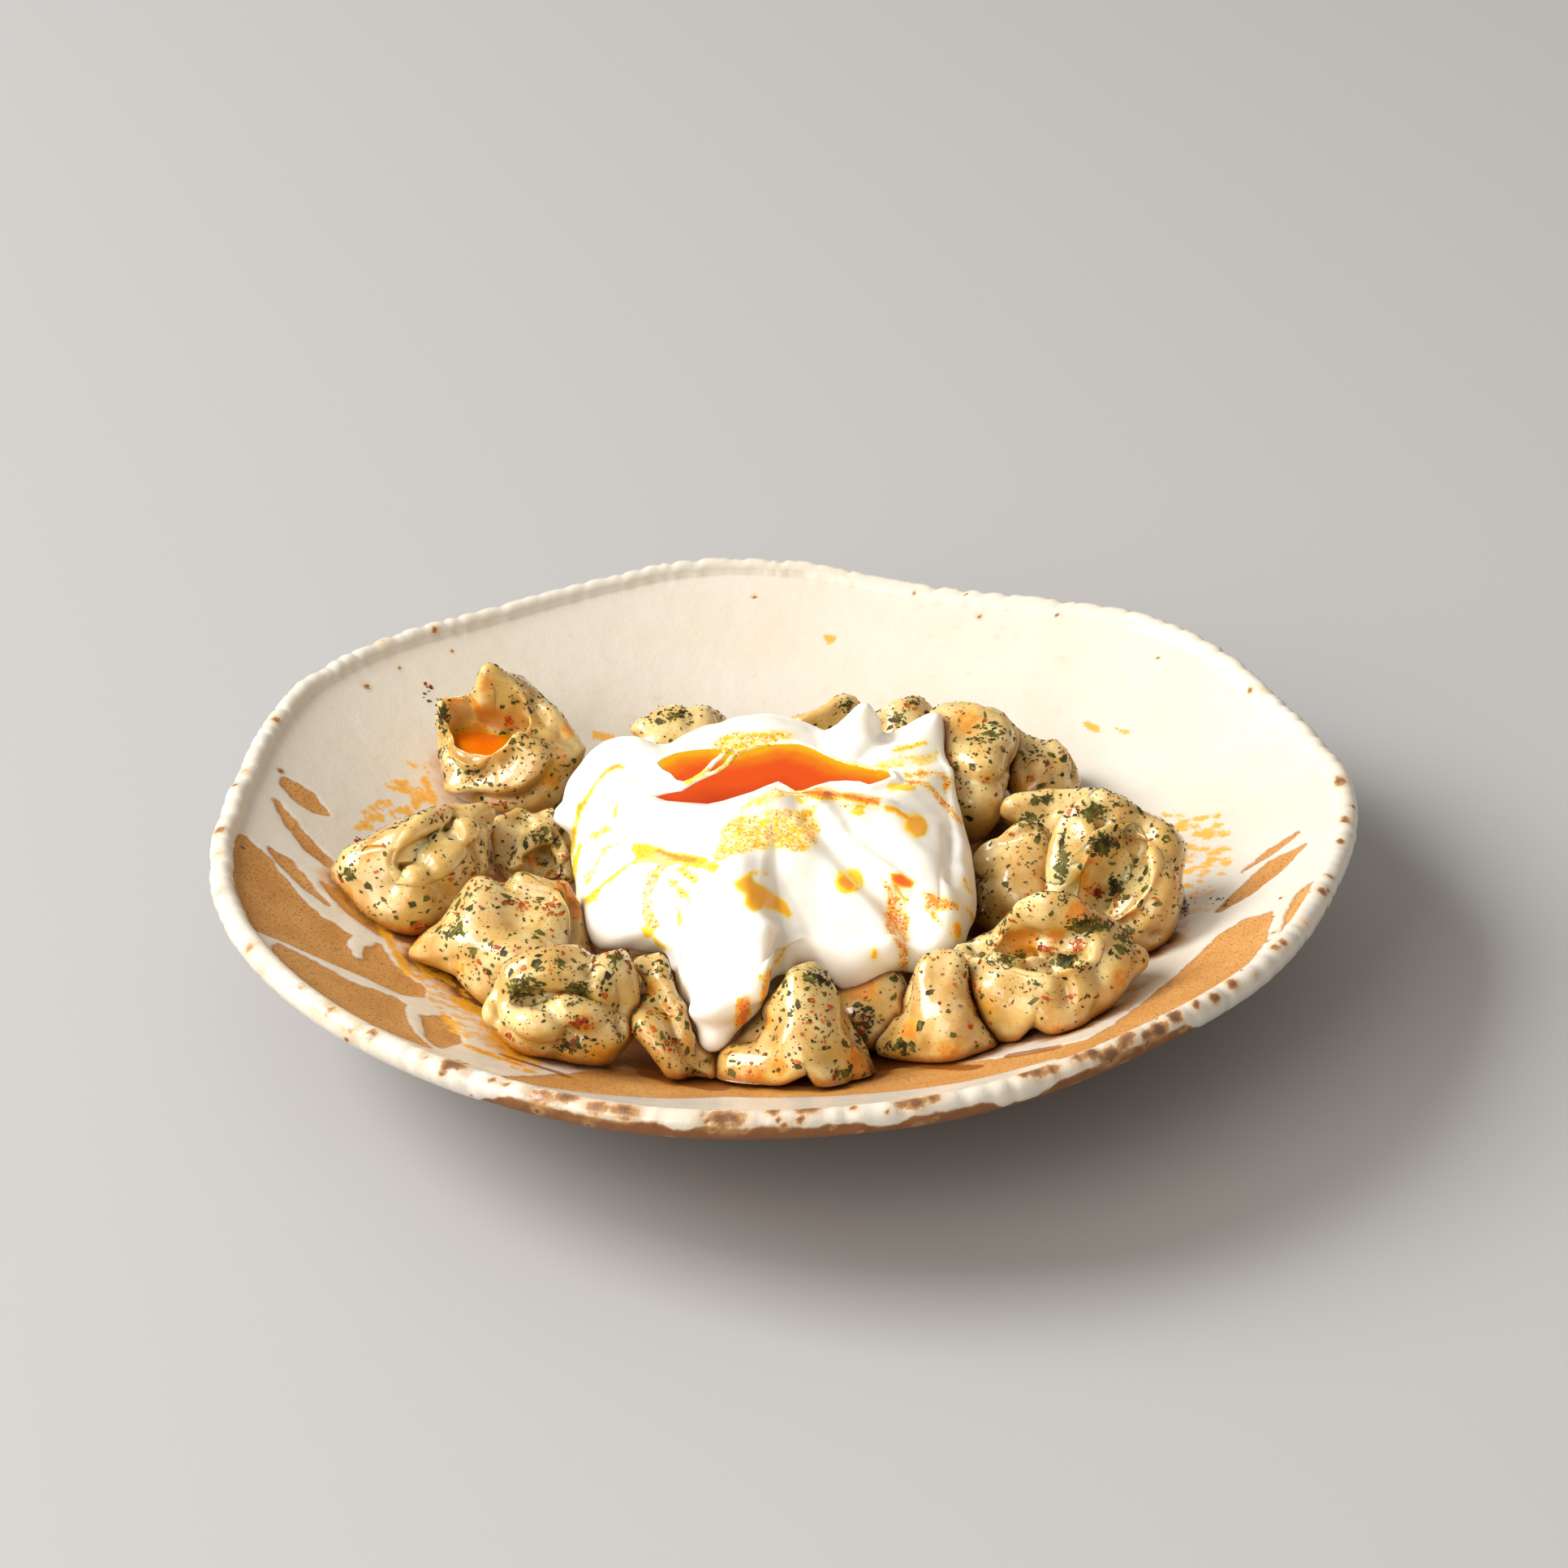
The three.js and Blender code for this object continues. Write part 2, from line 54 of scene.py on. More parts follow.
# ---- camera -----------------------------------------------------------------------------------
VIEW_PIXELS = 1932
CAMERA_ELEVATION = 30.0
CAMERA_DISTANCE = 850.0
CAMERA_TARGET = np.array([0.0, 0.0, 40.0])
CAMERA_LENS = 86.0
SENSOR_WIDTH = 36.0
TARGET_OFF_CENTRE = (-7.2, 33.5)  # how far the target lies from the view's middle, in pixels
CAMERA_CLIP = (0.05, 20.0)  # nearest and farthest that it sees, in metres
PIXELS_FOCAL = CAMERA_LENS / SENSOR_WIDTH * VIEW_PIXELS
PIXELS_PER_MM = 5.4  # at the food


def unit(v):
    """A vector of length 1 in the same direction."""
    return v / np.linalg.norm(v)


def camera_axes():
    """The camera's place and its right, up and forward directions."""
    elevation = math.radians(CAMERA_ELEVATION)
    back = np.array([0.0, -math.cos(elevation), math.sin(elevation)])
    right = np.array([1.0, 0.0, 0.0])
    up = np.cross(right, -back)
    nod = math.atan(TARGET_OFF_CENTRE[1] / PIXELS_FOCAL)
    pan = math.atan(-TARGET_OFF_CENTRE[0] / PIXELS_FOCAL)
    forward = -back * math.cos(nod) + up * math.sin(nod)
    forward = unit(forward * math.cos(pan) + right * math.sin(pan))
    side = unit(np.cross(forward, up))
    return CAMERA_TARGET + back * CAMERA_DISTANCE, side, np.cross(side, forward), forward


EYE, EYE_RIGHT, EYE_UP, EYE_FORWARD = camera_axes()


def sight(pixel):
    """The direction in which the camera sees a pixel."""
    across, down = (np.asarray(pixel, float) - VIEW_PIXELS / 2) / PIXELS_FOCAL
    return unit(EYE_FORWARD + EYE_RIGHT * across - EYE_UP * down)


def pixels_of(points):
    """The pixels at which the camera sees some points, and how far in front of it they are."""
    away = points - EYE
    depth = away @ EYE_FORWARD
    across = PIXELS_FOCAL * (away @ EYE_RIGHT) / depth
    down = -PIXELS_FOCAL * (away @ EYE_UP) / depth
    return np.column_stack([across, down]) + VIEW_PIXELS / 2, depth


def make_camera():
    """Puts the camera where the view was taken from."""
    data = bpy.data.cameras.new("camera")
    data.lens = CAMERA_LENS
    data.sensor_width = SENSOR_WIDTH
    data.clip_start, data.clip_end = CAMERA_CLIP
    camera = bpy.data.objects.new("camera", data)
    rows = np.column_stack([EYE_RIGHT, EYE_UP, -EYE_FORWARD, (EYE - OUTLINE_MIDDLE) * MM])
    camera.matrix_world = Matrix([*rows.tolist(), [0, 0, 0, 1]])
    bpy.context.scene.collection.objects.link(camera)
    bpy.context.scene.camera = camera


# ---- small helpers ----------------------------------------------------------------------------
def smooth(v):
    """Eases from 0 to 1, and stays at 0 and 1 beyond."""
    v = np.clip(v, 0, 1)
    return v * v * (3 - 2 * v)


def mix(a, b, share):
    """From a at share 0 to b at share 1."""
    return a + (b - a) * share


def hill(distance, width):
    """1 at no distance, falling off like a bell."""
    return np.exp(-((distance / width) ** 2))


def turn_from(direction, turn):
    """How far an angle is turned from a direction, from -pi to pi."""
    off = turn - direction
    return np.arctan2(np.sin(off), np.cos(off))


def ring_round(centre, radius, angle):
    """The x and y of a ring of points round a centre."""
    return centre[0] + radius * np.cos(angle), centre[1] + radius * np.sin(angle)


def at_zero(places):
    """Flat places as points of height 0."""
    return np.column_stack([np.array(places, float), np.zeros(len(places))])


FLAT = np.array([1, 1, 0])  # times a point, this puts it at height 0
HASH_STEPS = (73856093, 19349663, 83492791)
HASH_SPREAD = 2654435761
HASH_RANGE = 1048573
SEED_SHIFT = 7.31
CELL_SHIFT = 500  # keeps the cells' numbers above 0


def noise(points, size, seed=0):
    """A smooth unevenness through space, from -1 to 1, with lumps of about `size` mm."""
    q = points / size + seed * SEED_SHIFT + CELL_SHIFT
    cell = np.floor(q).astype(np.int64)
    t = smooth(q - cell)
    total = np.zeros(len(q))
    for corner in np.ndindex(2, 2, 2):
        c = cell + np.array(corner)
        key = (c[:, 0] * HASH_STEPS[0]) ^ (c[:, 1] * HASH_STEPS[1]) ^ (c[:, 2] * HASH_STEPS[2])
        value = ((key * HASH_SPREAD) % HASH_RANGE) / (HASH_RANGE / 2) - 1
        weight = np.prod(np.where(corner, t, 1 - t), axis=1)
        total += weight * value
    return total


def wobble(points, size, seed):
    """The same gentle unevenness as the dumplings' solids have."""
    total = np.zeros(points.shape[:-1])
    for k in range(4):
        a = seed * 1.7 + k * 2.4
        direction = unit(np.array([math.cos(a), math.sin(a * 1.3), math.sin(a + 1)]))
        total += np.sin(points @ direction / size * (1 + 0.35 * k) * TAU + a * 3)
    return total / 4


def distance_to_line(points, line):
    """How far each point is from a line of straight stretches."""
    nearest = np.linalg.norm(points - line[0], axis=1)
    for a, b in zip(line[:-1], line[1:]):
        along = b - a
        share = np.clip((points - a) @ along / max(along @ along, 1e-9), 0, 1)
        gap = np.linalg.norm(points - a - share[:, None] * along, axis=1)
        nearest = np.minimum(nearest, gap)
    return nearest


def inside_outline(points, outline):
    """Distance to a closed flat outline, positive inside it."""
    ring = np.vstack([outline, outline[:1]])
    gap = distance_to_line(points, ring)
    inside = np.zeros(len(points), bool)
    x, y = points[:, 0], points[:, 1]
    for (x0, y0), (x1, y1) in zip(ring[:-1, :2], ring[1:, :2]):
        crosses = (y0 > y) != (y1 > y)
        level = (x1 - x0) * (y - y0) / (y1 - y0 if y1 != y0 else 1e-9) + x0
        inside ^= crosses & (x < level)
    return np.where(inside, gap, -gap)


# ---- meshes -----------------------------------------------------------------------------------
def grid_faces(rows, columns, from_top=False):
    """The faces of a closed surface whose first and last rows are single points.

    They face out where the first row is the lowest, or the highest with `from_top`.
    """
    body = 1 + np.arange((rows - 2) * columns).reshape(rows - 2, columns)
    after = np.roll(body, -1, axis=1)
    quads = np.stack([body[:-1], after[:-1], after[1:], body[1:]], -1).reshape(-1, 4)
    last = 1 + (rows - 2) * columns
    first_fan = [[0, int(b), int(a)] for a, b in zip(body[0], after[0])]
    last_fan = [[last, int(a), int(b)] for a, b in zip(body[-1], after[-1])]
    faces = first_fan + quads.tolist() + last_fan
    return [face[::-1] for face in faces] if from_top else faces


def grid_points(grid):
    """The points of such a surface: one for the first row, one for the last."""
    return np.vstack([grid[0, :1], grid[1:-1].reshape(-1, 3), grid[-1, :1]])


def grid_values(grid):
    """A grid of values, as one for each of such a surface's points."""
    return np.concatenate([grid[0, :1], grid[1:-1].ravel(), grid[-1, :1]])


def normals_of(points, faces):
    """The direction in which the surface faces at each point."""
    total = np.zeros_like(points)
    for count in (3, 4):
        chosen = np.array([f for f in faces if len(f) == count])
        if len(chosen) == 0:
            continue
        a, b, c = (points[chosen[:, k]] for k in (0, count // 2, count - 1))
        face = np.cross(b - a, c - a)
        for k in range(count):
            np.add.at(total, chosen[:, k], face)
    return total / np.maximum(np.linalg.norm(total, axis=1, keepdims=True), 1e-12)


def make_mesh(name, points, faces, material, attributes=None):
    """Makes a smooth piece. The attributes are named values, one for each point."""
    mesh = bpy.data.meshes.new(name)
    mesh.from_pydata(((np.asarray(points) - OUTLINE_MIDDLE) * MM).tolist(), [], faces)
    mesh.polygons.foreach_set("use_smooth", np.ones(len(mesh.polygons), bool))
    for key, values in (attributes or {}).items():
        layer = mesh.attributes.new(key, "FLOAT", "POINT")
        layer.data.foreach_set("value", np.asarray(values, np.float32))
    mesh.materials.append(material)
    mesh.update()
    piece = bpy.data.objects.new(name, mesh)
    bpy.context.scene.collection.objects.link(piece)
    return piece


def tree_of(points, faces):
    """A surface in the form in which rays and nearest points are found."""
    return BVHTree.FromPolygons(points.tolist(), faces)


def gaps_to(tree, points, reach, missed):
    """How far each point is from a surface, or `missed` where that is farther than `reach`."""
    found = [tree.find_nearest(Vector(point), reach)[3] for point in points.tolist()]
    return np.array([gap or missed for gap in found])


def seen_on(tree, pixel):
    """Where the camera sees a surface at a pixel, or None."""
    hit = tree.ray_cast(Vector(EYE), Vector(sight(pixel)))[0]
    return None if hit is None else np.array(hit)


SEEN_WITHIN = 0.8  # a point counts as seen when the camera sees the surface this near to it


def seen_points(tree, points):
    """Which of a surface's own points the camera sees, nothing of that surface being before them."""
    seen = np.zeros(len(points), bool)
    eye = Vector(EYE)
    for index, point in enumerate(points.tolist()):
        way = Vector(point) - eye
        hit = tree.ray_cast(eye, way.normalized())[0]
        seen[index] = hit is not None and (hit - eye).length > way.length - SEEN_WITHIN
    return seen


def line_on(tree, pixels):
    """A line of pixels, cast onto a surface. Pixels that miss it are left out."""
    hits = [seen_on(tree, pixel) for pixel in pixels]
    return [hit for hit in hits if hit is not None]


def with_folds(relief, points, tree, folds):
    """A relief with folds worked in. A fold is a line of pixels, its height and its width in mm."""
    for line, height, width in folds:
        route = line_on(tree, line)
        if route:
            relief = relief + height * hill(distance_to_line(points, route), width)
    return relief


# ---- materials --------------------------------------------------------------------------------
class Look:
    """A material, with short ways to add nodes to it."""

    def __init__(self, name):
        self.material = bpy.data.materials.new(name)
        self.material.use_nodes = True
        self.tree = self.material.node_tree
        self.shader = self.tree.nodes["Principled BSDF"]
        self.place = self.node("ShaderNodeTexCoord").outputs["Object"]

    def node(self, kind, **settings):
        """A new node."""
        made = self.tree.nodes.new(kind)
        for key, value in settings.items():
            setattr(made, key, value)
        return made

    def join(self, socket, source):
        """Gives a socket another socket to follow, or a plain value."""
        if isinstance(source, bpy.types.NodeSocket):
            self.tree.links.new(source, socket)
        else:
            socket.default_value = source

    def maths(self, operation, a, b=0.0):
        made = self.node("ShaderNodeMath", operation=operation)
        self.join(made.inputs[0], a)
        self.join(made.inputs[1], b)
        return made.outputs[0]

    def times(self, a, b):
        return self.maths("MULTIPLY", a, b)

    def plus(self, a, b):
        return self.maths("ADD", a, b)

    def noise(self, size, detail=2.0, roughness=0.5):
        """Noise from 0 to 1 with lumps of about `size` mm."""
        made = self.node("ShaderNodeTexNoise")
        self.join(made.inputs["Vector"], self.place)
        made.inputs["Scale"].default_value = 1 / (size * MM)
        made.inputs["Detail"].default_value = detail
        made.inputs["Roughness"].default_value = roughness
        return made.outputs["Fac"]

    def uneven(self, amount, size, detail=2.0, roughness=0.5):
        """Noise about 0, `amount` from its least to its greatest."""
        return self.times(self.maths("SUBTRACT", self.noise(size, detail, roughness), 0.5), amount)

    def grains(self, size):
        """Distance to the nearest of many scattered points, about `size` mm apart."""
        made = self.node("ShaderNodeTexVoronoi")
        self.join(made.inputs["Vector"], self.place)
        made.inputs["Scale"].default_value = 1 / (size * MM)
        return made.outputs["Distance"]

    def step(self, value, low, high):
        """0 below `low` and 1 above `high`, eased between them. The two may be the other way round."""
        made = self.node("ShaderNodeMapRange", interpolation_type="SMOOTHSTEP")
        self.join(made.inputs["Value"], value)
        if low > high:
            low, high = high, low
            made.inputs["To Min"].default_value, made.inputs["To Max"].default_value = 1, 0
        made.inputs["From Min"].default_value = low
        made.inputs["From Max"].default_value = high
        return made.outputs["Result"]

    def attribute(self, name):
        return self.node("ShaderNodeAttribute", attribute_name=name).outputs["Fac"]

    def blend(self, share, a, b):
        """From colour a to colour b. A colour is three numbers or a socket."""
        made = self.node("ShaderNodeMix", data_type="RGBA")
        self.join(made.inputs[0], share)
        for socket, colour in ((made.inputs[6], a), (made.inputs[7], b)):
            self.join(socket, (*colour, 1.0) if isinstance(colour, tuple) else colour)
        return made.outputs[2]

    def laid_over(self, colour, cover, share, strength):
        """A colour with another laid over it, as strongly as `share` times `strength` says."""
        return self.blend(self.times(share, strength), colour, cover)

    def bump(self, height, depth, normal=None):
        """Relief of `depth` mm."""
        made = self.node("ShaderNodeBump")
        made.inputs["Strength"].default_value = 1.0
        made.inputs["Distance"].default_value = depth * MM
        self.join(made.inputs["Height"], height)
        if normal is not None:
            self.join(made.inputs["Normal"], normal)
        return made.outputs["Normal"]

    def set(self, **values):
        """Gives the shader its values. An underscore stands for a space in a name."""
        for key, value in values.items():
            socket = self.shader.inputs[key.replace("_", " ")]
            if isinstance(value, tuple) and len(value) == 3 and socket.type == "RGBA":
                value = (*value, 1.0)
            self.join(socket, value)


GLAZE_CREAM = (0.66, 0.59, 0.48)
GLAZE_WHITE = (0.67, 0.62, 0.53)
GLAZE_THIN = (0.36, 0.14, 0.03)
CLAY_OCHRE = (0.49, 0.215, 0.042)
CLAY_LIGHT = (0.58, 0.29, 0.075)
CLAY_DARK = (0.25, 0.095, 0.02)
# the darker clay of the outer wall is painted shade
CLAY_OUTER_SHADED = (0.30, 0.115, 0.028)
CLAY_DEEP_SHADED = (0.15, 0.05, 0.012)
RUST = (0.13, 0.04, 0.009)
RUST_LIGHT = (0.38, 0.165, 0.04)
RUST_HALO = (0.56, 0.34, 0.12)
PLATE_OILY = (0.58, 0.25, 0.035)
# the darkest oil on the plate is partly painted shade among and under the food
PLATE_SOAKED_AND_SHADED = (0.17, 0.045, 0.005)
SPLASH_THIN = (0.78, 0.37, 0.016)
SPLASH_THICK = (0.52, 0.14, 0.006)
# the puddles' brown is partly painted shade
PUDDLE_BROWN_AND_SHADE = (0.24, 0.065, 0.007)
DOUGH_CREAM = (0.58, 0.38, 0.105)
DOUGH_PALE = (0.72, 0.56, 0.25)
DOUGH_MEAT = (0.46, 0.22, 0.045)
# the soaked dough's orange-brown is partly painted shade where the dough faces down
DOUGH_SOAKED_AND_SHADED = (0.42, 0.20, 0.022)
STAIN_PALE = (0.76, 0.42, 0.03)
STAIN_RED = (0.62, 0.19, 0.006)
# oil that seeps in at contacts, darkened further as painted shade
SEEP_AND_SHADE_BROWN = (0.38, 0.12, 0.010)
SEEP_AND_SHADE_DARK = (0.10, 0.024, 0.005)
GRAIN_RED = (0.42, 0.12, 0.008)
GRAIN_DARK = (0.06, 0.055, 0.010)
YOGHURT_WHITE = (0.90, 0.86, 0.77)
YOGHURT_TINGED = (0.86, 0.70, 0.22)
OIL_YELLOW = (1.0, 0.64, 0.012)
OIL_ORANGE = (1.0, 0.34, 0.003)
OIL_RED = (0.92, 0.12, 0.001)
OIL_SPECK = (0.50, 0.13, 0.003)
BUTTER_DEPTHS = [  # from the shore to the deepest
    (0.64, 0.33, 0.002), (0.63, 0.16, 0.001), (0.60, 0.062, 0.0008), (0.42, 0.032, 0.0006),
]
BUTTER_DOTS = (0.30, 0.03, 0.001)
HERB_GREENS = [(0.054, 0.046, 0.006), (0.13, 0.115, 0.012), (0.022, 0.017, 0.004)]
CHILLI_REDS = [(0.38, 0.045, 0.005), (0.52, 0.13, 0.010), (0.18, 0.016, 0.004)]
FLOOR_GREY = (0.395, 0.39, 0.385)


def plate_look():
    """Cream glaze with bare clay, rust and splashed oil. Painted shade darkens the bare clay on the outer
    wall, and the plate among, under and at the feet of the dumplings.
    """
    look = Look("stoneware_glaze")
    fleck = look.noise(0.55, 3)
    edge = look.uneven(2.2, 4.0, 4, 0.6)
    clay = look.step(look.plus(look.attribute("clay"), edge), -0.15, 0.15)
    glaze = look.blend(look.step(look.noise(28, 3), 0.35, 0.7), GLAZE_WHITE, GLAZE_CREAM)
    ochre = look.blend(look.step(look.noise(14, 4), 0.3, 0.75), CLAY_OCHRE, CLAY_LIGHT)
    ochre = look.blend(look.step(fleck, 0.54, 0.66), ochre, CLAY_DARK)
    # painted shade: the bare clay on the outer wall is made darker, as if it stood in shade
    outer = look.attribute("outer")
    ochre = look.blend(outer, ochre, look.blend(look.noise(3, 3), CLAY_OUTER_SHADED, CLAY_DEEP_SHADED))
    colour = look.blend(clay, glaze, ochre)
    # where the glaze thins at the edge of the bare clay, and over the rim
    from_edge = look.maths("ABSOLUTE", look.plus(look.attribute("clay"), edge))
    colour = look.laid_over(colour, GLAZE_THIN, look.step(from_edge, 0.55, 0.05), 0.6)
    spots = look.uneven(1.3, 1.4, 4, 0.65)
    spots = look.plus(look.attribute("rust"), spots)
    colour = look.laid_over(colour, RUST_HALO, look.step(spots, -0.8, 0.35), 0.5)
    rusty = look.blend(look.step(spots, 0.4, 1.0), RUST_LIGHT, RUST)
    colour = look.laid_over(colour, rusty, look.step(spots, 0.1, 0.5), 0.9)
    # oil that has splashed on the plate, in grains
    grain = look.uneven(3.0, 0.9, 4, 0.7)
    # round the food: oil stains, with painted shade that darkens the plate among and under the dumplings
    oil_and_shade = look.uneven(1.3, 5.0, 4, 0.6)
    oil_and_shade = look.plus(look.attribute("oil_and_shade"), oil_and_shade)
    colour = look.laid_over(colour, PLATE_OILY, look.step(oil_and_shade, 0.1, 0.8), 0.7)
    colour = look.laid_over(colour, PLATE_SOAKED_AND_SHADED, look.step(oil_and_shade, 0.6, 1.2), 0.9)
    blobs = look.uneven(3.0, 3.5, 3)
    dab = look.plus(look.attribute("splash"), look.plus(grain, blobs))
    splash = look.step(dab, -0.5, 0.4)
    wet = look.blend(look.step(dab, 0.7, 2.0), SPLASH_THIN, SPLASH_THICK)
    colour = look.laid_over(colour, wet, splash, 0.92)
    # puddles of oil, their dark brown partly painted shade at the dumplings' feet
    puddle = look.plus(look.attribute("puddle"), look.times(grain, 0.5))
    puddle = look.step(puddle, -0.3, 0.5)
    colour = look.laid_over(colour, PUDDLE_BROWN_AND_SHADE, puddle, 0.85)
    puddle = look.maths("MAXIMUM", puddle, look.step(oil_and_shade, 0.3, 0.9))
    rough = look.plus(look.times(clay, 0.40), 0.24)
    rough = look.maths("SUBTRACT", rough, look.times(puddle, 0.25))
    relief = look.bump(fleck, 0.05)
    relief = look.bump(look.noise(6, 2), 0.2, relief)
    look.set(Base_Color=colour, Roughness=rough, Normal=relief, IOR=1.5)
    return look.material


def dough_look():
    """Moist dough with stains and seeping oil, and painted shade where it faces down, lies low or touches
    the plate or a neighbour.
    """
    look = Look("boiled_dough")
    colour = look.blend(look.step(look.noise(8, 3), 0.38, 0.66), DOUGH_CREAM, DOUGH_PALE)
    meat = look.times(look.step(look.noise(10, 2), 0.36, 0.66), look.attribute("belly"))
    colour = look.laid_over(colour, DOUGH_MEAT, meat, 0.65)
    # painted shade with soaked oil: darker orange where the dough faces down and lies low
    uneven = look.uneven(0.9, 5, 3)
    soaked_and_shaded = look.step(look.plus(look.attribute("under"), uneven), 0.1, 0.9)
    colour = look.laid_over(colour, DOUGH_SOAKED_AND_SHADED, soaked_and_shaded, 0.8)
    grain = look.uneven(2.4, 1.6, 4, 0.7)
    stain = look.plus(look.attribute("stain"), grain)
    wide = look.plus(look.attribute("stain"), look.maths("SUBTRACT", look.noise(7, 3), 0.5))
    colour = look.laid_over(colour, STAIN_PALE, look.step(wide, -0.2, 1.1), 0.6)
    colour = look.laid_over(colour, STAIN_RED, look.step(stain, 0.3, 1.1), 0.75)
    # where it touches the plate or a neighbour: seeping oil, with painted shade that darkens the contact
    seep_and_shade = look.plus(look.attribute("contact_seep_and_shade"), look.times(grain, 0.22))
    colour = look.laid_over(colour, SEEP_AND_SHADE_BROWN, look.step(seep_and_shade, 0.15, 0.8), 0.8)
    colour = look.laid_over(colour, SEEP_AND_SHADE_DARK, look.step(seep_and_shade, 0.7, 1.1), 0.85)
    # grains of chilli and pepper too fine to be meshes
    chosen = look.step(look.noise(5, 3, 0.6), 0.42, 0.6)
    red = look.times(look.step(look.grains(1.3), 0.22, 0.12), chosen)
    colour = look.laid_over(colour, GRAIN_RED, red, 0.6)
    dark = look.step(look.grains(1.5), 0.13, 0.07)
    dark = look.times(dark, look.step(look.noise(8, 2), 0.45, 0.6))
    colour = look.laid_over(colour, GRAIN_DARK, dark, 0.85)
    rough = look.plus(look.times(look.noise(3, 3), 0.25), 0.22)
    relief = look.bump(look.noise(0.8, 3), 0.07)
    relief = look.bump(look.noise(2.2, 3, 0.55), 0.22, relief)
    look.set(Base_Color=colour, Roughness=rough, Normal=relief, IOR=1.42)
    look.set(Subsurface_Weight=0.6, Subsurface_Radius=(1.0, 0.55, 0.22), Subsurface_Scale=3.5 * MM)
    look.set(Coat_Weight=0.8, Coat_Roughness=0.08, Coat_IOR=1.4)
    return look.material


def yoghurt_look():
    """Yoghurt with yellow to red oil on it, smooth or grainy."""
    look = Look("strained_yoghurt")
    fine = look.uneven(1.2, 0.7, 5, 0.75)
    ragged = look.plus(0.6, look.times(look.attribute("grain"), 1.3))
    oil = look.plus(look.attribute("oil"), look.times(fine, look.attribute("grain")))
    oil = look.plus(oil, look.uneven(ragged, 3.2, 4))
    halo = look.times(look.step(look.attribute("oil"), -1.2, 0.2), 0.4)
    film = look.step(oil, -0.1, 0.2)
    strength = look.times(look.attribute("red"), look.step(oil, -0.15, 0.9))
    tint = look.blend(look.step(strength, 0.04, 0.5), OIL_YELLOW, OIL_ORANGE)
    tint = look.blend(look.step(strength, 0.5, 1.0), tint, OIL_RED)
    # the specks lie where the oil is grainy and red
    specks = look.times(look.step(look.grains(0.9), 0.36, 0.24), look.step(oil, -0.2, 0.3))
    specks = look.times(specks, look.step(look.attribute("grain"), 0.4, 1.6))
    specks = look.times(specks, look.step(look.attribute("red"), 0.05, 0.4))
    colour = look.blend(halo, YOGHURT_WHITE, YOGHURT_TINGED)
    gaps = look.step(look.attribute("grain"), 0.8, 2.2)
    gaps = look.times(gaps, look.step(look.noise(1.3, 4), 0.44, 0.6))
    thick = look.maths("SUBTRACT", 0.94, look.times(gaps, 0.62))
    colour = look.laid_over(colour, tint, film, thick)
    colour = look.laid_over(colour, OIL_SPECK, specks, 0.9)
    rough = look.maths("SUBTRACT", 0.36, look.times(film, 0.24))
    relief = look.bump(look.noise(1.6, 3), 0.04)
    look.set(Base_Color=colour, Roughness=rough, Normal=relief, IOR=1.4, Specular_IOR_Level=0.3)
    look.set(Subsurface_Weight=0.25, Subsurface_Radius=(1.0, 0.8, 0.6), Subsurface_Scale=2.5 * MM)
    return look.material


def oil_look():
    """Butter that is yellow where it is shallow and red where it is deep."""
    look = Look("chilli_butter_liquid")
    swirl = look.uneven(4.0, 4, 4, 0.6)
    depth = look.plus(look.attribute("deep"), swirl)
    shore, shallow, deep, deepest = BUTTER_DEPTHS
    colour = look.blend(look.step(depth, 0.3, 3.5), shore, shallow)
    colour = look.blend(look.step(depth, 2.5, 8.0), colour, deep)
    colour = look.blend(look.step(depth, 11.0, 20.0), colour, deepest)
    dots = look.times(look.step(look.grains(1.4), 0.18, 0.09), look.step(look.noise(6), 0.45, 0.6))
    colour = look.laid_over(colour, BUTTER_DOTS, dots, 0.5)
    look.set(Base_Color=colour, Roughness=0.10, IOR=1.38, Specular_IOR_Level=0.2)
    look.set(Subsurface_Weight=0.2, Subsurface_Radius=(1.0, 0.2, 0.02), Subsurface_Scale=2.0 * MM)
    return look.material


def flake_look(name, colours, size, roughness):
    """A dry flake that varies between three colours."""
    look = Look(name)
    first, second, third = colours
    colour = look.blend(look.step(look.noise(size, 2), 0.35, 0.65), first, second)
    colour = look.blend(look.step(look.noise(size * 2.3, 2), 0.5, 0.7), colour, third)
    look.set(Base_Color=colour, Roughness=roughness, IOR=1.45, Specular_IOR_Level=0.25)
    look.set(Normal=look.bump(look.noise(0.5, 2), 0.06))
    return look.material


# ---- plate ------------------------------------------------------------------------------------
PLATE_RADIUS = 127
PLATE_HEIGHT = 42
PLATE_FLOOR = 10
FLOOR_RADIUS = 42
PLATE_LIP = 5
PLATE_WALL = 5.5
FOOT_RADIUS = 46
FOOT_WIDTH = 5
FOOT_HEIGHT = 2.5
EVEN_RADIUS = 50  # the plate is round out to here
RIM_WAVES = [  # count, size in mm, angle of a crest in degrees
    (1, 1.2, 84), (2, 3.1, 19), (3, 2.3, 16), (4, 0.9, 20), (5, 0.6, 30),
    (6, 1.5, -24), (7, 1.6, -6), (8, 0.9, 6), (9, 0.4, 7), (10, 0.4, 7),
]
PLATE_AROUND = 720
HOLLOW_ROWS = 150  # rows of the section across the eating side
CREST_BACK = 4  # rows from the rim's crest to the first of them
NICK_IN = 0.55  # how far the deepest of the rim's chiselled nicks goes in, and down
NICK_DOWN = 0.75
RIPPLE_OUT = 0.35  # and how far the rim ripples out, and up
RIPPLE_UP = 0.3
RIPPLE_SIZE = 3.1
RIPPLE_RING = 40  # the ripple is read from noise along a ring of this radius
GLAZE_THICK = 0.3  # bare clay lies this much deeper than the glaze
GLAZE_EDGE = 1.2  # the width over which it gets so deep
CLAY_ROWS_FROM = 12  # rows of the section in the foot, where the surface has no such edge
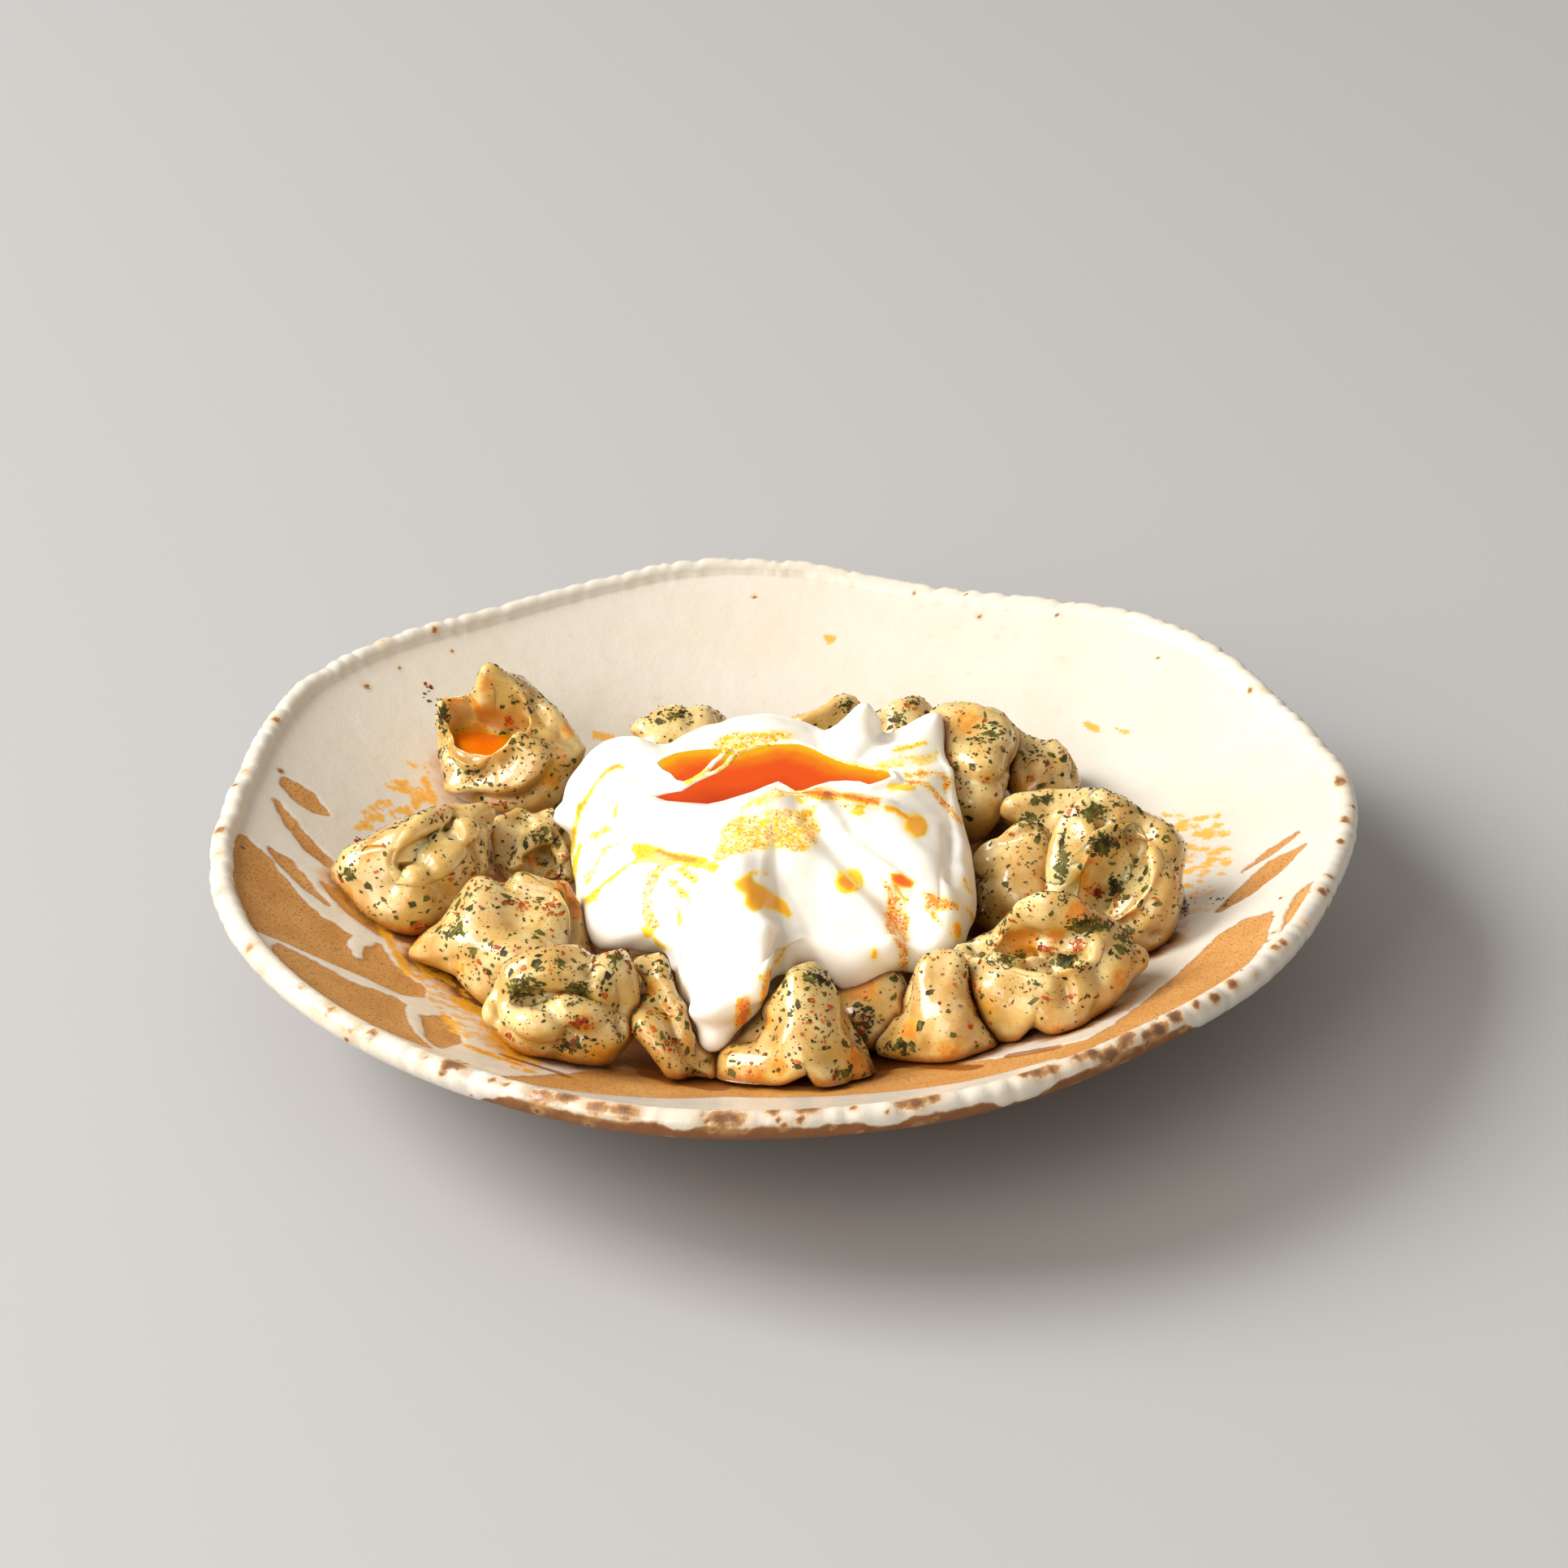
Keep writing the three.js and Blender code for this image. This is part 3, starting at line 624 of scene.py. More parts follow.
CLAY_WIDER = 0.6  # how much wider than its outlines the clay shows, and how ragged its edge is
CLAY_RAGGED = 0.3
NO_CLAY = -8.0  # stands for a place with no clay near it


def rim_wave(angle):
    """How far the rim is out of round, in mm."""
    return sum(size * np.cos(count * (angle - math.radians(crest))) for count, size, crest in RIM_WAVES)


def unevenness(r, angle):
    """How far the plate is out of round: outwards and upwards."""
    share = smooth((r - EVEN_RADIUS) / (PLATE_RADIUS - EVEN_RADIUS))
    wave = rim_wave(angle) * share
    return wave * (1 - 0.4 * np.sin(angle) ** 2), 0.24 * wave * np.sin(angle)


def wall_rise(r):
    """How high the wall is above the floor at a radius."""
    share = np.clip((r - FLOOR_RADIUS) / (PLATE_RADIUS - FLOOR_RADIUS), 0, 1)
    return (PLATE_HEIGHT - PLATE_FLOOR) * share ** 1.5


def plate_top(x, y):
    """Height of the eating surface."""
    angle = np.arctan2(y, x)
    r = np.hypot(x, y)
    out, up = unevenness(r, angle)
    return PLATE_FLOOR + wall_rise(r - out) + up


def plate_profile():
    """Half the plate's section, from the middle of the underside round the rim to the middle."""
    outer = np.linspace(56, PLATE_RADIUS - 4, 34)
    inner = np.linspace(PLATE_RADIUS - PLATE_LIP - 0.4, 1.0, HOLLOW_ROWS)
    R, H = PLATE_RADIUS, PLATE_HEIGHT
    foot = [
        (0, FOOT_HEIGHT), (20, FOOT_HEIGHT), (FOOT_RADIUS - FOOT_WIDTH - 0.6, FOOT_HEIGHT),
        (FOOT_RADIUS - FOOT_WIDTH, FOOT_HEIGHT - 0.6), (FOOT_RADIUS - FOOT_WIDTH + 0.6, 0.3),
        (FOOT_RADIUS - FOOT_WIDTH + 1.2, 0), (FOOT_RADIUS - 0.6, 0), (FOOT_RADIUS, 0.4),
        (FOOT_RADIUS + 0.6, 2.4), (FOOT_RADIUS + 1.8, 4.0),
    ]
    wall = [(r, PLATE_FLOOR + wall_rise(r) - PLATE_WALL) for r in outer]
    lip = [
        (R - 1.6, H - 6.2), (R - 0.7, H - 5.2), (R - 0.15, H - 4.1), (R, H - 2.9), (R - 0.25, H - 1.7),
        (R - 0.9, H - 0.75), (R - 1.8, H - 0.2), (R - 2.8, H), (R - 3.8, H - 0.25),
        (R - 4.5, H - 0.85), (R - 5.0, H - 1.6),
    ]
    hollow = [(r, PLATE_FLOOR + wall_rise(r)) for r in inner] + [(0, PLATE_FLOOR)]
    return np.array([(float(r), float(z)) for r, z in foot + wall + lip + hollow])


def nicks(angle):
    """Depth of the chiselled nicks along the rim, from 0 to 1."""
    rng = np.random.default_rng(11)
    depth = np.zeros_like(angle)
    at = 0.0
    while at < TAU:
        width = rng.uniform(0.6, 1.6) / PLATE_RADIUS
        strength = rng.uniform(0.15, 1.0)
        depth = np.maximum(depth, strength * hill(turn_from(at, angle), width))
        at += rng.uniform(2.2, 7.5) / PLATE_RADIUS
    return depth


# Where the glaze is missing and the clay shows, as outlines seen from the camera.
BARE_CLAY = [
    [(301, 1031), (334, 1061), (363, 1099), (391, 1127), (429, 1151), (426, 1165), (433, 1179),
     (450, 1182), (452, 1168), (467, 1163), (485, 1189), (523, 1217), (518, 1226), (497, 1224),
     (452, 1203), (396, 1179), (353, 1160), (318, 1146), (311, 1137), (292, 1094), (280, 1052),
     (285, 1030)],
    [(337, 1165), (349, 1189), (377, 1215), (419, 1241), (467, 1264), (528, 1290), (504, 1269),
     (497, 1250), (495, 1236), (485, 1229), (429, 1208), (382, 1182), (345, 1164)],
    [(523, 1252), (551, 1252), (566, 1283), (542, 1290), (528, 1278)],
    [(332, 1045), (358, 1061), (396, 1106), (403, 1113), (372, 1090), (345, 1064)],
    [(396, 1086), (430, 1104), (478, 1148), (470, 1152), (424, 1118)],
    [(341, 987), (358, 1008), (382, 1036), (408, 1060), (405, 1067), (377, 1046), (353, 1013)],
    [(351, 959), (367, 966), (386, 980), (403, 1003), (386, 999), (367, 987), (349, 968)],
    [(620, 1327), (712, 1322), (783, 1317), (900, 1330), (1079, 1322), (1145, 1314), (1257, 1300),
     (1339, 1281), (1369, 1265), (1405, 1240), (1436, 1214), (1471, 1184), (1502, 1153), (1533, 1133),
     (1563, 1125), (1556, 1158), (1533, 1189), (1497, 1219), (1451, 1250), (1410, 1265), (1359, 1286),
     (1298, 1303), (1196, 1330), (1114, 1342), (1000, 1350), (891, 1350), (830, 1352), (740, 1347),
     (665, 1337)],
    [(1617, 1087), (1602, 1099), (1589, 1122), (1579, 1151), (1596, 1133), (1614, 1105)],
    [(1607, 1040), (1563, 1063), (1512, 1109), (1502, 1122), (1538, 1102), (1584, 1066)],
    [(1599, 1026), (1560, 1050), (1530, 1074), (1562, 1054)],
]
# Oil splashed on the plate: where each dab starts and ends, and its size in mm.
SPLASHES = [
    ((600, 1262), (640, 1300), 2.6), ((560, 1230), (590, 1250), 1.6), ((510, 1175), (528, 1205), 1.4),
    ((580, 1290), (640, 1312), 2.4), ((470, 1140), (505, 1200), 1.4), ((488, 963), (516, 983), 1.2),
    ((512, 978), (538, 990), 1.6), ((522, 960), (536, 985), 1.2), ((474, 968), (498, 975), 0.7),
    ((476, 990), (487, 1008), 0.9), ((500, 992), (506, 1006), 0.9), ((448, 1012), (458, 1020), 0.8),
    ((440, 1020), (470, 1004), 0.7), ((505, 938), (510, 944), 1.0), ((524, 948), (527, 952), 0.8),
    ((1018, 785), (1026, 789), 0.9), ((1340, 893), (1350, 899), 1.0), ((1022, 786), (1022, 790), 0.9),
    ((1375, 898), (1390, 903), 0.7), ((735, 905), (752, 908), 1.5),
]
# Where oil has splashed in many small dots: outline, how many, and the direction in which they are
# drawn out.
SPLASH_FANS = [
    ([(1432, 996), (1500, 1003), (1512, 1058), (1488, 1120), (1470, 1130), (1455, 1060)], 90,
     (1.0, 0.0)),
    ([(500, 1160), (530, 1180), (600, 1240), (655, 1285), (665, 1322), (600, 1305), (555, 1268),
     (510, 1200)], 150, (0.8, 0.6)),
    ([(440, 1005), (500, 960), (535, 975), (530, 992), (480, 1008), (445, 1025)], 26, (0.8, -0.5)),
]
FAN_DRAWN_OUT = (1, 8)  # how long the dots are, in pixels
FAN_SIZES = (0.4, 1.3)
# Oil that stands on the plate in puddles, listed like the dabs. Their dark brown is partly the oil and
# partly painted shade at the dumplings' feet.
PUDDLES = [
    ((805, 1322), (880, 1338), 5.0), ((960, 1330), (1000, 1335), 3.0),
    ((1075, 1320), (1110, 1310), 4.5), ((1085, 1302), (1200, 1314), 3.0),
    ((1245, 1300), (1300, 1290), 2.2), ((762, 1302), (800, 1318), 3.5), ((505, 1150), (560, 1190), 2.2),
    ((620, 1300), (700, 1325), 1.6), ((1440, 1075), (1455, 1128), 3.0),
]
DAB_REACH = 0.75  # how far a dab reaches to each side of its middle line, times its size
FAR_OUTSIDE = -3.0  # stands for a place with no oil near it

# Clay shows on the outside in front, where the glaze stops just below the rim.
FRONT = math.radians(-82)
BARE_HALF = math.radians(34)
BARE_BLEND = 0.18
GLAZE_DOWN_FRONT = 2.2  # how far the glaze comes down from the rim there, and elsewhere
GLAZE_DOWN = 15.0
GLAZE_DRIPS = [  # direction in degrees, half width in radians, how much farther down
    (-80, 0.030, 1.6), (-66.5, 0.05, 2.2), (-99, 0.02, 1.0), (-118, 0.03, 1.4),
]
OIL_REACH = 7.0  # how far from the food the plate is oily and darkened with painted shade
FOOD_MIDDLE = (-2, -8)  # the oval that the food stands in
FOOD_HALF = (86, 73)


def oil_and_shade_near(points, food):
    """How oily the plate is round the food, with painted shade that darkens it among and under the
    dumplings: 1 where they touch, less at the back.
    """
    gaps = gaps_to(food, points, OIL_REACH, OIL_REACH)
    oval = np.hypot(*((points[:, :2] - FOOD_MIDDLE) / FOOD_HALF).T)
    among = smooth((1.04 - oval) / 0.2)
    nearer = mix(0.5, 1.0, smooth((20 - points[:, 1]) / 50))
    return hill(gaps, OIL_REACH / 2.2) * nearer + 1.1 * among


def plate_grid(profile, angle):
    """The plate's section carried round, out of round and with its rim nicked and rippled."""
    r, z = profile[:, :1], profile[:, 1:]
    out, up = unevenness(r, angle)
    rim = smooth((r - (PLATE_RADIUS - 9)) / 6)
    upper = smooth((z - (PLATE_HEIGHT - 7)) / 4)
    nick = nicks(angle)
    ring = np.stack([RIPPLE_RING * np.cos(angle), RIPPLE_RING * np.sin(angle), 0 * angle], -1)
    ripple = noise(ring.reshape(-1, 3), RIPPLE_SIZE, 4)[None, :]
    out = out - rim * upper * (NICK_IN * nick - RIPPLE_OUT * ripple)
    top = smooth((z - (PLATE_HEIGHT - 2.2)) / 1.5) * rim
    up = up - top * (NICK_DOWN * nick - RIPPLE_UP * ripple)
    radius = r + out
    return np.stack([radius * np.cos(angle), radius * np.sin(angle), z + up], -1)


def bare_clay(points, level, turn, inner, outside, tree):
    """How deep in bare clay each point lies, in mm, negative where there is glaze."""
    across = points * FLAT
    clay = np.full(len(points), NO_CLAY)
    for outline in BARE_CLAY:
        ring = np.array(line_on(tree, outline)) * FLAT
        clay[inner] = np.maximum(clay[inner], inside_outline(across[inner], ring))
    clay[inner] += CLAY_WIDER + CLAY_RAGGED * noise(points[inner], 9, 3)
    # outside, the glaze runs down from the rim and stops unevenly
    off_front = np.abs(turn_from(FRONT, turn))
    down = mix(GLAZE_DOWN_FRONT, GLAZE_DOWN, smooth((off_front - BARE_HALF) / BARE_BLEND))
    down = down * (1 + 0.22 * noise(across, 7, 5) + 0.12 * noise(across, 3, 6))
    for direction, width, longer in GLAZE_DRIPS:
        off = np.abs(turn_from(math.radians(direction), turn))
        down = down + longer * smooth(1.5 - off / width)
    clay[outside] = (PLATE_HEIGHT - down - level)[outside]
    return clay


def make_plate(food):
    """Makes the plate, and gives its points and faces. `food` is what lies on it."""
    profile = plate_profile()
    angle = np.linspace(0, TAU, PLATE_AROUND, endpoint=False)[None, :]
    grid = plate_grid(profile, angle)
    points = grid_points(grid)
    faces = grid_faces(*grid.shape[:2])
    smooth_tree = tree_of(points, faces)
    inner_from = len(profile) - HOLLOW_ROWS - 1
    row = grid_values(np.arange(len(profile))[:, None] * np.ones_like(angle))
    level = grid_values(profile[:, 1:] + 0 * angle)
    inner = row >= inner_from
    outside = row < inner_from - CREST_BACK
    turn = np.arctan2(points[:, 1], points[:, 0])
    clay = bare_clay(points, level, turn, inner, outside, smooth_tree)
    sunk = GLAZE_THICK * smooth((clay + GLAZE_EDGE / 2) / GLAZE_EDGE) * (row > CLAY_ROWS_FROM)
    points = points - normals_of(points, faces) * sunk[:, None]

    rust = rust_spots(points, turn, row, inner_from, smooth_tree)
    # oil stains and painted shade round the food
    oil_and_shade = np.zeros(len(points))
    oil_and_shade[inner] = oil_and_shade_near(points[inner], food)
    splash = np.full(len(points), FAR_OUTSIDE)
    splash[inner] = dab_field(points[inner], smooth_tree, SPLASHES + fan_dabs())
    puddle = np.full(len(points), FAR_OUTSIDE)
    puddle[inner] = dab_field(points[inner], smooth_tree, PUDDLES)
    # `outer` marks the outside, whose bare clay gets painted shade
    attributes = {"clay": clay, "rust": rust, "splash": splash, "puddle": puddle, "oil_and_shade": oil_and_shade,
                  "outer": outside.astype(float)}
    piece = make_mesh("plate_glazed", points, faces, plate_look(), attributes)
    dress(piece, "stoneware", "plate")
    return points, faces


# Rusty spots of iron on the rim, as the camera sees them: place, length along the rim in mm, and
# how dark they are.
RUST_PLACES = [
    ((560, 1312), 4.5, 1.0), ((548, 1316), 2.0, 0.8), ((640, 1328), 5.0, 0.5), ((668, 1350), 5.0, 0.7),
    ((700, 1352), 4.0, 0.8), ((718, 1349), 2.6, 0.8), ((743, 1346), 4.0, 1.0), ((768, 1368), 5.0, 0.9),
    ((735, 1364), 4.0, 0.8), ((824, 1354), 3.0, 0.9), ((847, 1356), 3.4, 1.2), ((868, 1363), 3.4, 1.1),
    ((888, 1352), 2.0, 0.5), ((911, 1366), 3.8, 1.3), ((893, 1378), 7.0, 0.9), ((945, 1356), 2.4, 0.9),
    ((967, 1366), 3.6, 1.2), ((953, 1369), 2.4, 0.9), ((995, 1366), 4.4, 1.2), ((1040, 1355), 7.0, 1.2),
    ((1062, 1360), 3.0, 0.8), ((1075, 1352), 2.4, 0.6), ((1112, 1360), 3.0, 0.8),
    ((1128, 1344), 3.4, 1.0), ((1128, 1358), 3.6, 1.1), ((1150, 1352), 2.8, 0.9),
    ((1164, 1337), 2.8, 1.0), ((1192, 1330), 1.6, 0.4), ((1262, 1323), 2.4, 1.0),
    ((1278, 1320), 4.0, 0.9), ((1296, 1316), 3.4, 0.7), ((1305, 1303), 3.6, 1.1),
    ((1328, 1302), 3.0, 0.6), ((1346, 1297), 3.4, 1.1), ((1368, 1300), 5.0, 1.0),
    ((1388, 1278), 4.0, 0.9), ((1384, 1286), 3.0, 0.7), ((1413, 1277), 2.6, 0.8),
    ((1428, 1268), 4.4, 1.2), ((1447, 1252), 3.4, 1.3), ((1474, 1238), 1.8, 0.9),
    ((1497, 1229), 2.4, 1.0), ((1518, 1211), 2.6, 1.0), ((1548, 1203), 1.2, 0.4),
    ((1571, 1167), 1.8, 0.9), ((1581, 1161), 1.8, 0.9), ((1630, 1098), 2.2, 1.0),
    ((1634, 1122), 1.6, 1.2), ((1608, 1136), 1.2, 0.3), ((1652, 1036), 1.8, 1.1),
    ((1657, 1010), 2.0, 0.9), ((1651, 962), 3.4, 0.9), ((270, 1022), 2.4, 0.7), ((268, 1052), 1.6, 0.3),
    ((308, 1167), 2.4, 0.5), ((371, 1216), 1.4, 0.5), ((406, 1244), 3.0, 0.5), ((430, 1268), 2.6, 0.3),
    ((458, 1274), 2.4, 0.8), ((270, 1098), 1.6, 0.3), ((388, 1243), 1.2, 0.2), ((322, 1196), 1.4, 0.2),
    ((524, 1304), 1.6, 0.4), ((339, 886), 2.2, 0.7), ((301, 950), 1.6, 0.5), ((655, 727), 1.2, 0.6),
    ((470, 790), 1.4, 0.4), ((1560, 850), 1.4, 0.3),
]
RUST_SPECKS = 640
RUST_SPECK_SIZES = (0.5, 1.8)
RUST_BACK = 5  # rows from the middle of the rusty lip to the eating side
RUST_ROWS = 14  # rows that it takes up on either side of its middle


def rust_spots(points, turn, row, inner_from, tree):
    """Rusty spots of iron on the rim: 1 at a spot's middle, 0 at its edge, less outside."""
    lip = np.flatnonzero(np.abs(row - (inner_from - RUST_BACK)) < RUST_ROWS)
    spots = np.full(len(points), -1.0)
    around = turn[lip] * PLATE_RADIUS
    away = np.hypot(points[lip, 0], points[lip, 1])
    height = points[lip, 2]

    def mark(spot, length, dark):
        """A spot that is longer along the rim than across it."""
        along = around - math.atan2(spot[1], spot[0]) * PLATE_RADIUS
        along = (along + PLATE_RADIUS * math.pi) % (PLATE_RADIUS * TAU) - PLATE_RADIUS * math.pi
        across = np.hypot(away - math.hypot(spot[0], spot[1]), height - spot[2])
        reach = np.hypot(along / length, across / min(length, 1.6 + 0.25 * length)) * 1.6
        spots[lip] = np.maximum(spots[lip], np.where(reach < 4, dark * (1.5 - 1.2 * reach), -1))

    for at, length, dark in RUST_PLACES:
        spot = seen_on(tree, at)
        if spot is not None:
            mark(spot, length, dark)
    rng = np.random.default_rng(21)
    for index in rng.choice(lip, RUST_SPECKS):
        spot = points[index]
        if rng.random() < rust_share(math.atan2(spot[1], spot[0])):
            mark(spot, rng.uniform(*RUST_SPECK_SIZES), rng.uniform(0.5, 1.0))
    return spots


def rust_share(turn):
    """How much fine rust the rim shows: most in front, some on the right, little at the back."""
    def near(direction, width):
        return hill(turn_from(math.radians(direction), turn), width)

    return 0.08 + 0.8 * near(-88, 0.7) + 0.25 * near(-30, 0.5)


def fan_dabs():
    """Small dots of oil that are spread over parts of the plate."""
    rng = np.random.default_rng(5)
    dabs = []
    for outline, count, drawn_out in SPLASH_FANS:
        low, high = np.min(outline, axis=0), np.max(outline, axis=0)
        ring = at_zero(outline)
        made = 0
        while made < count:
            at = rng.uniform(low, high)
            if inside_outline(np.array([[*at, 0.0]]), ring)[0] < 0:
                continue
            end = at + rng.uniform(*FAN_DRAWN_OUT) * np.array(drawn_out) + rng.uniform(-1, 1, 2)
            dabs.append((tuple(at), tuple(end), rng.uniform(*FAN_SIZES)))
            made += 1
    return dabs


def dab_field(points, tree, dabs):
    """How deep each point lies inside the nearest dab, in mm, negative outside."""
    field = np.full(len(points), FAR_OUTSIDE)
    for start, end, size in dabs:
        line = line_on(tree, [start, end])
        if len(line) == 2:
            field = np.maximum(field, DAB_REACH * size - distance_to_line(points, line))
    return field


# ---- dumplings --------------------------------------------------------------------------------
BELLY = 0.42  # heights of the widest place and the brim, as shares of the radius
BRIM = 1.0
FLAP_HALF = math.radians(78)
CORNER = math.radians(96)
CORNER_WIDTH = 0.42
WOBBLE = 0.9
SAG = 1.4  # how far the lowest point sinks below where the solid would stand
GAP = 0.35  # between two solids that would touch
COARSE_AROUND = 16
PLEATS_AT = 0.46  # where the pleats are deepest, as a share of the section
PLEATS_HALF = 0.17
PLEATS_DEEP = 0.035  # a share of the radius

# `r` is the radius and `up` how far a dumpling is lifted off the plate. The mouth is `mouth` wide and
# `slit` long each way, as shares of r, and `deep` below the brim, which is `thick`. The flap, or the
# ridge of a shut one, stands `flap` above the brim. `long` and `point` draw the ends out. It is spun
# round by `spin`, then leans by `tilt` towards `lean`, in degrees. Each pull has a place (x and y from
# the middle, z from the table), how far it draws the dough and the width that it takes along.
OPEN = dict(shut=0, slit=0.55, deep=9, thick=2.4, flap=8, long=1.05, point=0.1, up=0)
RING = dict(shut=0, slit=0.45, deep=6, thick=6, flap=1, long=1.05, point=0, up=0)
SHUT = dict(shut=1, mouth=0.08, slit=0.62, deep=0, thick=2.2, flap=6, long=1.1, point=0.14, up=0)
DUMPLINGS = [
    dict(RING, x=-47, y=-68, up=-4, r=15.5, mouth=0.32, deep=4, spin=90, tilt=50, lean=-92,
         pulls=[(-16, -12, 16, -4, -3, 1, 6), (13, -3, 34, -1, 3, -4, 5), (2, -10, 32, 0, 0, 3, 9)]),
    dict(SHUT, x=5, y=-71, up=-1, r=15.5, flap=9, spin=272, tilt=14, lean=84,
         pulls=[(4, -13, 11, 1, 8, 11, 7), (-15, -9, 14, -3, -3, -4, 7), (16, -8, 14, 3, -2, -4, 6)]),
    dict(SHUT, x=37, y=-62, up=-1, r=13.5, flap=8, long=1, spin=262, tilt=20, lean=84,
         pulls=[(-12, -8, 14, -5, -1, -3, 8)]),
    dict(OPEN, x=58, y=-55, up=-3, r=17.5, mouth=0.45, deep=5, flap=8, spin=72, tilt=16, lean=-122,
         pulls=[(3, -16, 16, 0, 8, 9, 7), (-16, -6, 30, -3, -2, 2, 8), (17, 4, 26, 4, 2, 2, 9)]),
    dict(SHUT, x=-56, y=-36, up=-3, r=19, long=1.15, spin=240, tilt=28, lean=62,
         pulls=[(-20, -2, 22, -6, 1, 0, 7), (6, 6, 36, 0, 0, 3, 8)]),
    dict(SHUT, x=-25, y=-66, up=-1, r=14, spin=215, tilt=26, lean=35, flap=5, pulls=[]),
    dict(SHUT, x=20, y=-51, r=12.5, long=1, spin=260, tilt=20, lean=80, pulls=[]),
    dict(OPEN, x=77, y=-21, up=-2, r=17, mouth=0.46, deep=7, thick=2.6, spin=140, tilt=44, lean=-112,
         pulls=[(15, -6, 22, 4, 0, -1, 9), (-3, 10, 44, 0, 2, 3, 9)]),
    dict(SHUT, x=56, y=-6, r=14, long=1, flap=8, spin=250, tilt=18, lean=80, pulls=[]),
    dict(SHUT, x=66, y=12, r=13, spin=258, tilt=18, lean=80, pulls=[]),
    dict(SHUT, x=47, y=33, up=3, r=18, long=1, flap=8, point=0.06, spin=245, tilt=24, lean=80,
         pulls=[(-12, -12, 20, 2, 5, -3, 7), (-3, 4, 44, 0, 0, 2, 9)]),
    dict(SHUT, x=62, y=39, r=13, long=1, flap=4, spin=240, tilt=20, lean=60, pulls=[]),
    dict(SHUT, x=31, y=59, up=2, r=12.5, flap=4, spin=300, tilt=12, lean=100, pulls=[]),
    dict(OPEN, x=14, y=55, up=2, r=14.5, mouth=0.35, deep=4, flap=6, spin=110, tilt=8, lean=80, pulls=[]),
    dict(OPEN, x=-6, y=57, r=12.5, mouth=0.35, deep=4, flap=3, spin=60, tilt=10, lean=40, pulls=[]),
    dict(SHUT, x=-24, y=54, up=3, r=15, spin=260, tilt=12, lean=80, pulls=[]),
    dict(OPEN, x=-65, y=44, r=17, mouth=0.6, deep=11, thick=2.6, spin=80, tilt=30, lean=-138,
         pulls=[(16, -2, 26, 4, -2, -1, 9), (-14, -12, 26, -2, -2, 3, 7)]),
    dict(OPEN, x=-81, y=-7, up=-2, r=16.5, mouth=0.3, deep=1.8, thick=3, flap=3, spin=150, tilt=32,
         lean=-60, pulls=[(-18, -3, 23, -5, 1, -1, 8), (12, 0, 28, 3, -1, 2, 8)]),
    dict(OPEN, x=-56, y=6, r=12.5, mouth=0.42, deep=4, flap=4, spin=150, tilt=30, lean=-70, pulls=[]),
    dict(SHUT, x=-24, y=19, r=15, flap=2, spin=20, tilt=10, lean=20, pulls=[]),
    dict(SHUT, x=19, y=16, r=15, flap=2, spin=130, tilt=10, lean=160, pulls=[]),
    dict(SHUT, x=-4, y=-26, r=15, flap=2, spin=240, tilt=10, lean=260, pulls=[]),
]
CARRIERS = 3  # the last of them lie under the yoghurt
DOUGH_AROUND = 160
DOUGH_STEPS = 9  # fine rows between two rows of the section


def dough_section(d, angle):
    """Half the section at each angle from the flap, as eleven rows of points."""
    cos, sin = np.cos(angle), np.sin(angle)
    front = np.cos(np.clip(np.abs(angle) / FLAP_HALF, 0, 1) * math.pi / 2) ** 2
    corner = hill(np.abs(angle) - CORNER, CORNER_WIDTH)
    R = d["r"] * (1 + d["point"] * corner)
    belly = np.stack([R * cos, R * sin * d["long"]])
    mouth = np.stack([d["r"] * d["mouth"] * cos * (1 - 0.35 * front), d["r"] * d["slit"] * sin])
    side = np.stack([cos, sin]) * d["thick"]
    foot = mouth + side
    z_belly = d["r"] * BELLY
    z_brim = d["r"] * BRIM

    def ridge(along):
        return z_brim + d["flap"] * (1 - along ** 2) - 0.42 * d["r"] * along ** 4

    if d["shut"]:
        z_edge = ridge(sin)
        hollow = [ridge(0 * sin), ridge(0.55 * sin), z_edge]
    else:
        z_edge = z_brim - 0.16 * d["r"] * corner + d["flap"] * front
        base = z_brim - d["deep"] + 0 * sin
        hollow = [base, base + 0.5 * (z_edge - z_brim), z_edge - 0.35 * d["deep"]]
    face = 0.42 if d["shut"] else np.where(front > 0.5, 0.42, 0.6)
    rows = [
        (0 * mouth, hollow[0]), (0.55 * mouth, hollow[1]), (mouth, hollow[2]),
        (mouth + 0.5 * side, z_edge), (mouth + 0.9 * side, z_edge - 0.35 * d["thick"]),
        (mix(foot, belly, face), mix(z_edge, z_belly, 0.38)),
        (mix(foot, belly, 0.92), mix(z_edge, z_belly, 0.74)), (belly, 0.72 * z_belly + 0 * sin),
        (0.88 * belly, 0.22 * z_belly + 0 * sin), (0.5 * belly, 0 * sin),
        (0 * belly, 0.1 * z_belly + 0 * sin),
    ]
    return np.stack([np.stack([flat[0], flat[1], z], -1) for flat, z in rows])


def smooth_rows(rows, steps):
    """A smooth surface through the rows, the first and last of which are single points."""
    half = rows.shape[1] // 2
    before = np.roll(rows[1:2], half, axis=1)
    after = np.roll(rows[-2:-1], half, axis=1)
    padded = np.concatenate([before, rows, after])
    fine = []
    for i in range(len(rows) - 1):
        a, b, c, d = padded[i:i + 4]
        for t in np.arange(steps) / steps:
            fine.append(0.5 * (2 * b + (c - a) * t + (2 * a - 5 * b + 4 * c - d) * t ** 2
                               + (3 * b - a - 3 * c + d) * t ** 3))
    return np.stack([*fine, rows[-1]])


def rotation(axis, degrees):
    """The matrix of a turn about an axis."""
    return np.array(Matrix.Rotation(math.radians(degrees), 3, Vector(axis)))


